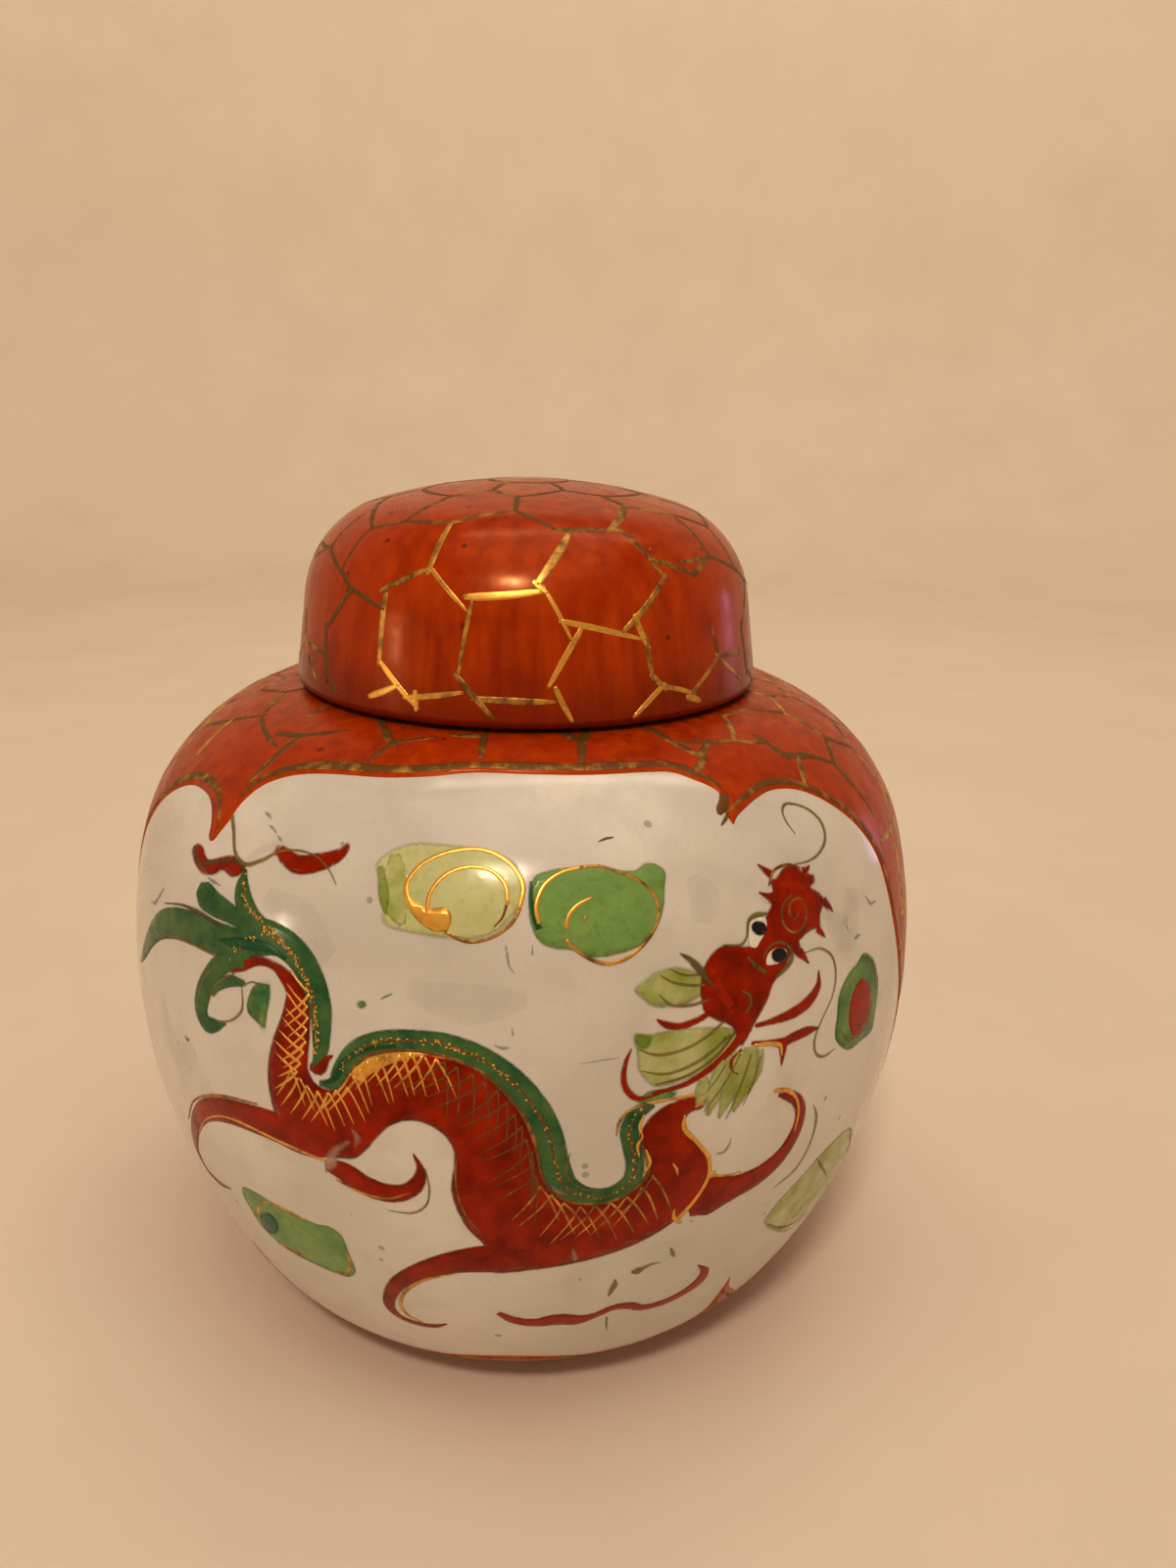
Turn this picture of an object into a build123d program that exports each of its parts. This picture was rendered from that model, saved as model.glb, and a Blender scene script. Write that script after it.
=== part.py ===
from build123d import *
from math import asin, atan2, cos, hypot, pi, radians, sin, sqrt, tan
import os

# ---- Driving dimensions: millimetres and degrees ----

# Jar body, outside
belly_radius = 51.0
belly_height = 48.0
shoulder_height = 82.25
foot_radius = 31.0
foot_height = 2.0
lower_arc_radius = 73.75
foot_arc_radius = 21.4
upper_arc_radius = 66.5

# Jar body, thickness
body_wall = 3.5
base_thickness = 4.0
foot_ring_width = 3.0

# Neck
neck_radius = 24.0
neck_height = 8.0
neck_wall = 3.4

# Lid
lid_wall = 3.0
lid_taper = 7.7
lid_height = 24.6
lid_dome_radius = 67.0
lid_corner_radius = 13.2

# Fit of the lid over the neck and on the shoulder
lid_neck_clearance = 1.3
lid_seat_gap = 0.3

# Edge rounding
foot_edge_round = 0.8
lip_round = 1.3
neck_root_round = 1.0
mouth_root_round = 1.2
lid_rim_round = 1.1

# ---- Sizes that follow from the ones above ----

floor_height = foot_height + base_thickness
neck_top = shoulder_height + neck_height
mouth_radius = neck_radius - neck_wall
ceiling_height = shoulder_height - body_wall
lid_base = shoulder_height + lid_seat_gap
lid_top = lid_base + lid_height
lid_slope = radians(lid_taper)
lid_bore_radius = neck_radius + lid_neck_clearance + (neck_top - lid_base) * tan(lid_slope)
lid_rim_radius = lid_bore_radius + lid_wall / cos(lid_slope)
seat_radius = lid_bore_radius


def point_at(centre, radius, angle):
    return centre[0] + radius * cos(angle), centre[1] + radius * sin(angle)


def angle_to(centre, point):
    return atan2(point[1] - centre[1], point[0] - centre[0])


def arc(centre, radius, start, end):
    angles = (start, (start + end) / 2, end)
    return ThreePointArc(*[point_at(centre, radius, angle) for angle in angles])


def outer_crossing(centre_a, reach_a, centre_b, reach_b):
    """Of the two points at these distances from two centres, the one farther from the axis."""
    span = hypot(centre_b[0] - centre_a[0], centre_b[1] - centre_a[1])
    along = (reach_a**2 - reach_b**2 + span**2) / (2 * span)
    off = sqrt(reach_a**2 - along**2)
    heading = angle_to(centre_a, centre_b)
    foot = point_at(centre_a, along, heading)
    return max(point_at(foot, off, heading + turn) for turn in (pi / 2, -pi / 2))


def turned(outline):
    """Turn a closed outline, drawn as radius and height, once round the axis."""
    return revolve(make_face(Plane.XZ * (Curve() + outline)), Axis.Z, 360)


def soften(solid, rounds):
    """Round each ring edge, given as its radius, its height and the size of the rounding."""
    for radius, height, size in rounds:
        ring = [
            edge
            for edge in solid.edges().filter_by(GeomType.CIRCLE)
            if abs(edge.radius - radius) < 0.1 and abs(edge.arc_center.Z - height) < 0.1
        ]
        solid = fillet(ring, size)
    return solid


# ---- Jar body: arc centres ----

belly_centre = (belly_radius - lower_arc_radius, belly_height)
upper_centre = (belly_radius - upper_arc_radius, belly_height)

# The foot arc leaves the lower belly arc smoothly and ends on the foot ring.
foot_corner = (foot_radius, foot_height)
foot_centre = outer_crossing(
    belly_centre, lower_arc_radius - foot_arc_radius, foot_corner, foot_arc_radius
)
belly_low_angle = angle_to(belly_centre, foot_centre)
foot_angle = angle_to(foot_centre, foot_corner)

# The shoulder arc is level at the lid's seat and runs smoothly into the upper belly arc.
rise = shoulder_height - belly_height
inset = belly_radius - upper_arc_radius - seat_radius
shoulder_arc_radius = (upper_arc_radius**2 - inset**2 - rise**2) / (2 * (upper_arc_radius - rise))
shoulder_centre = (seat_radius, shoulder_height - shoulder_arc_radius)
shoulder_angle = angle_to(upper_centre, shoulder_centre)

# The inside follows the same centres, one wall thickness in, down to the flat floor.
inner_foot_arc = foot_arc_radius - body_wall
floor_angle = asin(max(-1, (floor_height - foot_centre[1]) / inner_foot_arc))
floor_edge = point_at(foot_centre, inner_foot_arc, floor_angle)

# ---- Jar body: outside from the foot ring up to the lip, then back down the inside ----

body_outline = [
    Line((foot_radius, 0), foot_corner),
    arc(foot_centre, foot_arc_radius, foot_angle, belly_low_angle),
    arc(belly_centre, lower_arc_radius, belly_low_angle, 0),
    arc(upper_centre, upper_arc_radius, 0, shoulder_angle),
    arc(shoulder_centre, shoulder_arc_radius, shoulder_angle, pi / 2),
    Polyline(
        (seat_radius, shoulder_height),
        (neck_radius, shoulder_height),
        (neck_radius, neck_top),
        (mouth_radius, neck_top),
        (mouth_radius, ceiling_height),
        (seat_radius, ceiling_height),
    ),
    arc(shoulder_centre, shoulder_arc_radius - body_wall, pi / 2, shoulder_angle),
    arc(upper_centre, upper_arc_radius - body_wall, shoulder_angle, 0),
    arc(belly_centre, lower_arc_radius - body_wall, 0, belly_low_angle),
    arc(foot_centre, inner_foot_arc, belly_low_angle, floor_angle),
    Polyline(
        floor_edge,
        (0, floor_edge[1]),
        (0, foot_height),
        (foot_radius - foot_ring_width, foot_height),
        (foot_radius - foot_ring_width, 0),
        (foot_radius, 0),
    ),
]

jar_body = soften(
    turned(body_outline),
    [
        (foot_radius, 0, foot_edge_round),
        (foot_radius - foot_ring_width, 0, foot_edge_round),
        (neck_radius, neck_top, lip_round),
        (mouth_radius, neck_top, lip_round),
        (neck_radius, shoulder_height, neck_root_round),
        (mouth_radius, ceiling_height, mouth_root_round),
    ],
)

# ---- Lid: a slightly tapered wall, a rounded corner and a shallow dome ----

# The corner arc leaves the wall smoothly and runs smoothly into the dome.
dome_centre = (0, lid_top - lid_dome_radius)
wall_foot = point_at((lid_rim_radius, lid_base), -lid_corner_radius, lid_slope)
gap = (wall_foot[0] - dome_centre[0], wall_foot[1] - dome_centre[1])
up_wall = (-sin(lid_slope), cos(lid_slope))
half = gap[0] * up_wall[0] + gap[1] * up_wall[1]
room = gap[0] ** 2 + gap[1] ** 2 - (lid_dome_radius - lid_corner_radius) ** 2
climb = sqrt(half**2 - room) - half
corner_centre = (wall_foot[0] + climb * up_wall[0], wall_foot[1] + climb * up_wall[1])
dome_angle = angle_to(dome_centre, corner_centre)

inner_corner_arc = lid_corner_radius - lid_wall
inner_dome = lid_dome_radius - lid_wall
lid_outline = [
    Line((lid_rim_radius, lid_base), point_at(corner_centre, lid_corner_radius, lid_slope)),
    arc(corner_centre, lid_corner_radius, lid_slope, dome_angle),
    arc(dome_centre, lid_dome_radius, dome_angle, pi / 2),
    Line((0, lid_top), (0, lid_top - lid_wall)),
    arc(dome_centre, inner_dome, pi / 2, dome_angle),
    arc(corner_centre, inner_corner_arc, dome_angle, lid_slope),
    Polyline(
        point_at(corner_centre, inner_corner_arc, lid_slope),
        (lid_bore_radius, lid_base),
        (lid_rim_radius, lid_base),
    ),
]

lid = soften(
    turned(lid_outline),
    [
        (lid_rim_radius, lid_base, lid_rim_round),
        (lid_bore_radius, lid_base, lid_rim_round),
    ],
)

# ---- One file for each piece, at its place in the closed jar ----

os.makedirs("parts", exist_ok=True)
export_step(jar_body, "parts/jar_body.step")
export_step(lid, "parts/lid.step")
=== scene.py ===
from math import asin, atan2, cos, hypot, pi, radians, sin, sqrt, tan

import bmesh
import bpy
import numpy as np
from mathutils import Matrix, Vector
from mathutils.geometry import delaunay_2d_cdt


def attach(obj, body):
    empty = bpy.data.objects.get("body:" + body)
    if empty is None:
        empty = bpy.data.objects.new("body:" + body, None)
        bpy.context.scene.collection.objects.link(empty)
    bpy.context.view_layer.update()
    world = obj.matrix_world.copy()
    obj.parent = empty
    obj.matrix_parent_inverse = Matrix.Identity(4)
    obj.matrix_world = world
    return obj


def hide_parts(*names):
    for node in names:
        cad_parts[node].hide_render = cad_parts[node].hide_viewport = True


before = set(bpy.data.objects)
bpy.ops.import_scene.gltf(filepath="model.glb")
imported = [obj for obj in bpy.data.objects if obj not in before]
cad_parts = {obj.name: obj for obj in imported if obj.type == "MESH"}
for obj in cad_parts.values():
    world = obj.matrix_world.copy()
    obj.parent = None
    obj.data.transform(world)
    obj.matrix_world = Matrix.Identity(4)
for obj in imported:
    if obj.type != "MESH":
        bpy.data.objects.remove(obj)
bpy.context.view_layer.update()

# ------------------------------------------------------------------ sizes of the turned forms (millimetres)
MM = 0.001
FRONT_ROUND = 51.0  # a flat drawing for the jar is this many millimetres per radian round the axis
LID_ROUND = 29.2  # the same for the lid
SKIN = 0.12  # the porcelain lies this far inside its nominal surface, so the enamels stay within it

belly_radius, belly_height, shoulder_height = 51.0, 48.0, 82.25
foot_radius, foot_height, foot_ring_width = 31.0, 2.0, 3.0
lower_arc_radius, foot_arc_radius, upper_arc_radius = 73.75, 21.4, 66.5
body_wall, floor_height = 3.5, 6.0
neck_radius, neck_height, neck_wall = 24.0, 8.0, 3.4
lid_wall, lid_height, lid_dome_radius, lid_corner_radius = 3.0, 24.6, 67.0, 13.2
lid_slope = radians(7.7)
neck_clearance, seat_gap = 1.3, 0.3  # between the lid and the neck, and between the lid and the shoulder
foot_inner_round, foot_edge_round = 0.4, 0.8
neck_root_round, lip_round, mouth_root_round, lid_rim_round = 1.0, 1.3, 1.2, 1.1
corner_points = 7  # points along each rounded corner
flat_rings = (0, 8, 16, 24)  # the flat middle of the underside and of the floor is cut into rings here
foot_bare_height, foot_bare_radius = 0.9, 20  # the foot ring is bare clay below the one and outside the other
rim_bare_height = 0.5  # the same for the rim of the lid, on its inner side
lid_base = shoulder_height + seat_gap
lid_top = lid_base + lid_height
neck_top = shoulder_height + neck_height
mouth_radius = neck_radius - neck_wall
ceiling_height = shoulder_height - body_wall
lid_bore_radius = neck_radius + neck_clearance + (neck_top - lid_base) * tan(lid_slope)
lid_rim_radius = lid_bore_radius + lid_wall / cos(lid_slope)
seat_radius = lid_bore_radius

BARE, GLAZED, PAINTED = 0.0, 1.0, 2.0


# ------------------------------------------------------------------ outlines
def heading(a, b):
    return atan2(b[1] - a[1], b[0] - a[0])


def arc(centre, radius, start, end, step=0.5):
    count = max(3, int(abs(end - start) * radius / step))
    return [
        (centre[0] + radius * cos(a), centre[1] + radius * sin(a))
        for a in np.linspace(start, end, count)
    ]


def outer_crossing(a, reach_a, b, reach_b):
    span = hypot(b[0] - a[0], b[1] - a[1])
    along = (reach_a**2 - reach_b**2 + span**2) / (2 * span)
    off = sqrt(reach_a**2 - along**2)
    turn = heading(a, b)
    foot = (a[0] + along * cos(turn), a[1] + along * sin(turn))
    return max((foot[0] + off * cos(turn + s), foot[1] + off * sin(turn + s)) for s in (pi / 2, -pi / 2))


def rounded(points):
    """A line through (radius, height, rounding) points, with an arc at each rounded corner."""
    line = []
    for i, (r, z, size) in enumerate(points):
        if not size:
            line.append((r, z))
            continue
        corner = Vector((r, z))
        into = (Vector(points[i - 1][:2]) - corner).normalized()
        out = (Vector(points[i + 1][:2]) - corner).normalized()
        half = into.angle(out) / 2
        middle = corner + (into + out).normalized() * size / sin(half)
        start = corner + into * size / tan(half)
        for share in np.linspace(0, 1, corner_points):
            end = corner + out * size / tan(half)
            way = (start - middle).lerp(end - middle, share).normalized()
            line.append(tuple(middle + way * size))
    return line


belly_centre = (belly_radius - lower_arc_radius, belly_height)
upper_centre = (belly_radius - upper_arc_radius, belly_height)
foot_corner = (foot_radius, foot_height)
foot_centre = outer_crossing(belly_centre, lower_arc_radius - foot_arc_radius, foot_corner, foot_arc_radius)
belly_low = heading(belly_centre, foot_centre)
foot_turn = heading(foot_centre, foot_corner)
rise = shoulder_height - belly_height
inset = belly_radius - upper_arc_radius - seat_radius
shoulder_arc_radius = (upper_arc_radius**2 - inset**2 - rise**2) / (2 * (upper_arc_radius - rise))
shoulder_centre = (seat_radius, shoulder_height - shoulder_arc_radius)
shoulder_turn = heading(upper_centre, shoulder_centre)


def body_arcs(inwards):
    """The outside of the jar from the foot ring up to the lid's seat, or a line that far inside it."""
    low = foot_turn if inwards < 1 else asin((floor_height - foot_centre[1]) / (foot_arc_radius - inwards))
    return (
        arc(foot_centre, foot_arc_radius - inwards, low, belly_low)
        + arc(belly_centre, lower_arc_radius - inwards, belly_low, 0)[1:]
        + arc(upper_centre, upper_arc_radius - inwards, 0, shoulder_turn)[1:]
        + arc(shoulder_centre, shoulder_arc_radius - inwards, shoulder_turn, pi / 2)[1:]
    )


dome_centre = (0.0, lid_top - lid_dome_radius)
wall_start = Vector((lid_rim_radius - lid_corner_radius * cos(lid_slope),
                     lid_base - lid_corner_radius * sin(lid_slope)))
up_wall = Vector((-sin(lid_slope), cos(lid_slope)))
apart = wall_start - Vector(dome_centre)
half_way = apart.dot(up_wall)
climb = sqrt(half_way**2 - apart.length_squared + (lid_dome_radius - lid_corner_radius) ** 2) - half_way
corner_centre = tuple(wall_start + climb * up_wall)
dome_turn = heading(dome_centre, corner_centre)


def lid_arcs(inwards):
    """The lid from the top of its straight wall to the middle of the dome, or a line that far inside it."""
    return (
        arc(corner_centre, lid_corner_radius - inwards, lid_slope, dome_turn)
        + arc(dome_centre, lid_dome_radius - inwards, dome_turn, pi / 2)[1:]
    )


def body_outline():
    """The jar's outline from the middle of its underside to the middle of its floor, with its finish."""
    foot = rounded(
        [
            *[(r, foot_height, 0) for r in flat_rings],
            (foot_radius - foot_ring_width, foot_height, foot_inner_round),
            (foot_radius - foot_ring_width, 0, foot_edge_round),
            (foot_radius, 0, foot_edge_round),
            (foot_radius, foot_height - 0.1, 0),
        ]
    )
    neck = rounded(
        [
            (seat_radius, shoulder_height - SKIN, 0),
            (neck_radius, shoulder_height - SKIN, neck_root_round),
            (neck_radius, neck_top, lip_round),
            (mouth_radius, neck_top, lip_round),
            (mouth_radius, ceiling_height, mouth_root_round),
            (seat_radius, ceiling_height, 0),
        ]
    )
    outside, inside = body_arcs(SKIN), body_arcs(body_wall)[::-1]
    floor = [(r, floor_height) for r in flat_rings[::-1]]
    line = foot + outside[:-1] + neck + inside[1:] + floor
    finish = [BARE if z < foot_bare_height and r > foot_bare_radius else GLAZED for r, z in line]
    return line, finish


def lid_outline():
    outside, inside = lid_arcs(SKIN)[::-1], lid_arcs(lid_wall)
    rim = rounded(
        [
            (*outside[-1], 0),
            (lid_rim_radius - SKIN, lid_base, lid_rim_round),
            (lid_bore_radius, lid_base, lid_rim_round),
            (*inside[0], 0),
        ]
    )
    line = outside[:-1] + rim + inside[1:]
    last_painted = len(outside) + corner_points
    bare_below = lid_base + rim_bare_height
    finish = [
        PAINTED if i < last_painted else BARE if z < bare_below else GLAZED for i, (r, z) in enumerate(line)
    ]
    return line, finish


def outline_object(name, line, finish=None):
    """A line of points in the x-z plane, in metres: the outline that a tree turns or wraps onto."""
    mesh = bpy.data.meshes.new(name)
    mesh.from_pydata([(r * MM, 0, z * MM) for r, z in line], [(i, i + 1) for i in range(len(line) - 1)], [])
    if finish:
        mesh.attributes.new("finish", "FLOAT", "POINT").data.foreach_set("value", finish)
    obj = bpy.data.objects.new(name, mesh)
    bpy.context.scene.collection.objects.link(obj)
    obj.hide_render = True
    return obj


# ------------------------------------------------------------------ Geometry Nodes trees
def feed(tree, socket, value):
    """Links a socket to another node's output, or sets it to a plain value."""
    if isinstance(value, bpy.types.NodeSocket):
        tree.links.new(value, socket)
    else:
        socket.default_value = value


def new_node(tree, kind, links, settings):
    """Adds a node to a tree, with its settings and its inputs."""
    made = tree.nodes.new(kind)
    for key, value in settings.items():
        setattr(made, key, value)
    for key, value in (links or {}).items():
        feed(tree, made.inputs[key], value)
    return made


class Tree:
    """A Geometry Nodes tree under construction: node() adds a node and links or sets its inputs by name."""

    def __init__(self, name, inputs):
        self.group = bpy.data.node_groups.new(name, "GeometryNodeTree")
        self.group.interface.new_socket("Geometry", in_out="INPUT", socket_type="NodeSocketGeometry")
        for label, kind in inputs:
            self.group.interface.new_socket(label, in_out="INPUT", socket_type=kind)
        self.group.interface.new_socket("Geometry", in_out="OUTPUT", socket_type="NodeSocketGeometry")
        self.inputs = self.group.nodes.new("NodeGroupInput").outputs

    def node(self, kind, links=None, **settings):
        return new_node(self.group, kind, links, settings)

    def math(self, operation, a, b=0.0):
        return self.node("ShaderNodeMath", {0: a, 1: b}, operation=operation).outputs[0]

    def end(self, geometry, finish):
        solid = self.node("GeometryNodeRealizeInstances", {"Geometry": geometry}).outputs[0]
        solid = self.node("GeometryNodeSetShadeSmooth", {"Geometry": solid, "Shade Smooth": True}).outputs[0]
        solid = self.node("GeometryNodeSetMaterial", {"Geometry": solid, "Material": finish}).outputs[0]
        out = self.group.nodes.new("NodeGroupOutput")
        self.group.links.new(solid, out.inputs["Geometry"])
        return self.group


def wheel_tree():
    """Turns an outline once round the axis and closes the seam and the middle."""
    t = Tree(
        "turn on the wheel",
        [("Outline", "NodeSocketObject"), ("Steps round", "NodeSocketInt"), ("Finish", "NodeSocketMaterial")],
    )
    outline = t.node("GeometryNodeObjectInfo", {"Object": t.inputs["Outline"]}).outputs["Geometry"]
    size = t.node("GeometryNodeAttributeDomainSize", {"Geometry": outline},
                  component="MESH").outputs["Point Count"]
    around = t.math("ADD", t.inputs["Steps round"], 1.0)
    grid = t.node(
        "GeometryNodeMeshGrid", {"Size X": 1.0, "Size Y": 1.0, "Vertices X": size, "Vertices Y": around}
    ).outputs["Mesh"]
    index = t.node("GeometryNodeInputIndex").outputs[0]
    step = t.math("FLOOR", t.math("DIVIDE", t.math("ADD", index, 0.5), around))
    turn = t.math("SUBTRACT", index, t.math("MULTIPLY", step, around))
    turn = t.math("MULTIPLY", t.math("DIVIDE", turn, t.inputs["Steps round"]), 2 * pi)
    here = t.node("GeometryNodeInputPosition").outputs[0]
    place = t.node(
        "GeometryNodeSampleIndex",
        {"Geometry": outline, "Value": here, "Index": step},
        data_type="FLOAT_VECTOR",
        domain="POINT",
    ).outputs[0]
    place = t.node("ShaderNodeSeparateXYZ", {0: place}).outputs
    finish = t.node("GeometryNodeInputNamedAttribute", {"Name": "finish"},
                    data_type="FLOAT").outputs["Attribute"]
    finish = t.node(
        "GeometryNodeSampleIndex", {"Geometry": outline, "Value": finish, "Index": step}, data_type="FLOAT",
        domain="POINT"
    ).outputs[0]
    x = t.math("MULTIPLY", place["X"], t.math("SINE", turn))
    y = t.math("MULTIPLY", t.math("MULTIPLY", place["X"], t.math("COSINE", turn)), -1.0)
    spot = t.node("ShaderNodeCombineXYZ", {"X": x, "Y": y, "Z": place["Z"]}).outputs[0]
    marked = t.node(
        "GeometryNodeStoreNamedAttribute", {"Geometry": grid, "Name": "finish", "Value": finish},
        data_type="FLOAT"
    ).outputs[0]
    turned = t.node("GeometryNodeSetPosition", {"Geometry": marked, "Position": spot}).outputs[0]
    closed = t.node("GeometryNodeMergeByDistance", {"Geometry": turned, "Distance": 2e-6}).outputs[0]
    return t.end(closed, t.inputs["Finish"])


def wrap_tree():
    """Wraps a drawing round an outline: x goes round, y goes up the outline, z is the height above it."""
    t = Tree(
        "wrap round the form",
        [
            ("Outline", "NodeSocketObject"),
            ("Round", "NodeSocketFloat"),
            ("Copies", "NodeSocketInt"),
            ("Join", "NodeSocketFloat"),
            ("Finish", "NodeSocketMaterial"),
        ],
    )
    line = t.node("GeometryNodeObjectInfo", {"Object": t.inputs["Outline"]}).outputs["Geometry"]
    line = t.node("GeometryNodeMeshToCurve", {"Mesh": line}).outputs["Curve"]
    flat = t.node("ShaderNodeSeparateXYZ", {0: t.node("GeometryNodeInputPosition").outputs[0]}).outputs
    sample = t.node("GeometryNodeSampleCurve", {"Curves": line, "Length": flat["Y"]}, mode="LENGTH").outputs
    place = t.node("ShaderNodeSeparateXYZ", {0: sample["Position"]}).outputs
    way = t.node("ShaderNodeSeparateXYZ", {0: sample["Tangent"]}).outputs
    radius = t.math("ADD", place["X"], t.math("MULTIPLY", way["Z"], flat["Z"]))
    height = t.math("SUBTRACT", place["Z"], t.math("MULTIPLY", way["X"], flat["Z"]))
    turn = t.math("DIVIDE", flat["X"], t.inputs["Round"])
    x = t.math("MULTIPLY", radius, t.math("SINE", turn))
    y = t.math("MULTIPLY", t.math("MULTIPLY", radius, t.math("COSINE", turn)), -1.0)
    spot = t.node("ShaderNodeCombineXYZ", {"X": x, "Y": y, "Z": height}).outputs[0]
    wrapped = t.node("GeometryNodeSetPosition", {"Geometry": t.inputs["Geometry"],
                                                 "Position": spot}).outputs[0]
    copies = t.node("GeometryNodeMeshLine", {"Count": t.inputs["Copies"], "Offset": (0, 0, 0)},
                    mode="OFFSET").outputs[0]
    index = t.node("GeometryNodeInputIndex").outputs[0]
    share = t.math("MULTIPLY", t.math("DIVIDE", index, t.inputs["Copies"]), 2 * pi)
    turned = t.node("ShaderNodeCombineXYZ", {"Z": share}).outputs[0]
    placed = t.node(
        "GeometryNodeInstanceOnPoints", {"Points": copies, "Instance": wrapped, "Rotation": turned}
    ).outputs[0]
    solid = t.node("GeometryNodeRealizeInstances", {"Geometry": placed}).outputs[0]
    solid = t.node("GeometryNodeMergeByDistance", {"Geometry": solid,
                                                   "Distance": t.inputs["Join"]}).outputs[0]
    return t.end(solid, t.inputs["Finish"])


def row_tree():
    """Sets small pieces of a drawing in a row along a line, each a little uneven in place, turn and size."""
    t = Tree(
        "row along a line",
        [
            ("Line", "NodeSocketObject"),
            ("Piece", "NodeSocketObject"),
            ("Spacing", "NodeSocketFloat"),
            ("Turn", "NodeSocketFloat"),
            ("Uneven", "NodeSocketFloat"),
            ("Scatter", "NodeSocketFloat"),
            ("Kept", "NodeSocketFloat"),
            ("Smallest", "NodeSocketFloat"),
            ("Seed", "NodeSocketInt"),
            ("Finish", "NodeSocketMaterial"),
        ],
    )

    def chance(kind, low, high, seed):
        """A random value between low and high, from the sockets of its own kind."""
        made = t.node("FunctionNodeRandomValue", {"Seed": t.math("ADD", t.inputs["Seed"], seed)},
                      data_type=kind)
        live = [socket for socket in made.inputs if socket.enabled]
        for socket, value in zip(live, (low, high)):
            feed(t.group, socket, value)
        return next(socket for socket in made.outputs if socket.enabled)

    line = t.node("GeometryNodeObjectInfo", {"Object": t.inputs["Line"]}).outputs["Geometry"]
    line = t.node("GeometryNodeMeshToCurve", {"Mesh": line}).outputs["Curve"]
    line = t.node(
        "GeometryNodeResampleCurve", {"Curve": line, "Length": t.inputs["Spacing"]}, mode="LENGTH"
    ).outputs[0]
    line = t.node("GeometryNodeCurveToPoints", {"Curve": line}, mode="EVALUATED").outputs["Points"]
    aside = t.node(
        "ShaderNodeVectorMath", {0: chance("FLOAT_VECTOR", (-1, -1, 0), (1, 1, 0), 3.0),
                                 3: t.inputs["Scatter"]}, operation="SCALE"
    ).outputs[0]
    line = t.node("GeometryNodeSetPosition", {"Geometry": line, "Offset": aside}).outputs[0]
    turn = t.math("ADD", t.inputs["Turn"], t.math("MULTIPLY", chance("FLOAT", -1.0, 1.0, 0.0),
                                                  t.inputs["Uneven"]))
    turn = t.node("ShaderNodeCombineXYZ", {"Z": turn}).outputs[0]
    size = chance("FLOAT", t.inputs["Smallest"], 1.0, 7.0)
    kept = t.node("FunctionNodeCompare", {0: chance("FLOAT", 0.0, 1.0, 5.0), 1: t.inputs["Kept"]},
                  operation="LESS_THAN").outputs[0]
    piece = t.node("GeometryNodeObjectInfo", {"Object": t.inputs["Piece"]}).outputs["Geometry"]
    sized = t.node("ShaderNodeCombineXYZ", {"X": size, "Y": size, "Z": 1.0}).outputs[0]
    row = t.node(
        "GeometryNodeInstanceOnPoints",
        {"Points": line, "Selection": kept, "Instance": piece, "Rotation": turn, "Scale": sized},
    ).outputs[0]
    return t.end(row, t.inputs["Finish"])


WHEEL, WRAP, ROW = wheel_tree(), wrap_tree(), row_tree()


def face_outwards(mesh):
    """Turns each closed shell of a mesh so that its faces point outwards."""
    shells = bmesh.new()
    shells.from_mesh(mesh)
    if all(edge.is_manifold for edge in shells.edges):
        bmesh.ops.recalc_face_normals(shells, faces=shells.faces)
        shells.to_mesh(mesh)
    shells.free()


def grown(name, mesh, tree, values):
    """A new object holding what a tree makes of a mesh. The modifier is gone afterwards."""
    source = bpy.data.objects.new(name.replace(",", "").replace(" ", "_"), mesh)
    bpy.context.scene.collection.objects.link(source)
    modifier = source.modifiers.new(tree.name, "NODES")
    modifier.node_group = tree
    for item in tree.interface.items_tree:
        if item.in_out == "INPUT" and item.name in values:
            modifier[item.identifier] = values[item.name]
    bpy.context.view_layer.update()
    evaluated = source.evaluated_get(bpy.context.evaluated_depsgraph_get())
    made = bpy.data.meshes.new_from_object(evaluated)
    face_outwards(made)
    source.modifiers.clear()
    source.data = made
    return source


# ------------------------------------------------------------------ flat drawing: strokes and filled shapes
def smooth(points, closed=False, step=0.35):
    """A smooth line through the points. Every column, such as the brush's half width, is carried along."""
    p = np.array(points, float)
    if len(p) == 2:
        count = max(2, int(hypot(*(p[1] - p[0])[:2]) / step))
        return p[0] + (p[1] - p[0]) * np.linspace(0, 1, count)[:, None]
    if closed:
        p = np.concatenate([p[-1:], p, p[:2]])
    else:
        p = np.concatenate([2 * p[:1] - p[1:2], p, 2 * p[-1:] - p[-2:-1]])
    line = []
    for a, b, c, d in zip(p, p[1:], p[2:], p[3:]):
        count = max(2, int(hypot(*(c - b)[:2]) / step))
        gaps = [max(hypot(*(q - o)[:2]) ** 0.5, 1e-3) for o, q in ((a, b), (b, c), (c, d))]
        into = ((b - a) / gaps[0] - (c - a) / (gaps[0] + gaps[1]) + (c - b) / gaps[1]) * gaps[1]
        out = ((c - b) / gaps[1] - (d - b) / (gaps[1] + gaps[2]) + (d - c) / gaps[2]) * gaps[1]
        for s in np.arange(count) / count:
            line.append(
                b * (2 * s**3 - 3 * s**2 + 1) + into * (s**3 - 2 * s**2 + s)
                + c * (3 * s**2 - 2 * s**3) + out * (s**3 - s**2)
            )
    if not closed:
        line.append(p[-2])
    return np.array(line)


BURIED = -0.05  # undersides of strokes and shapes lie this far below the painted face
LAYERS, LAYER_STEP = 9, 0.002  # strokes that follow each other lie on this many levels, this far apart
THINNEST = 0.03  # the smallest half width of a stroke


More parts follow.
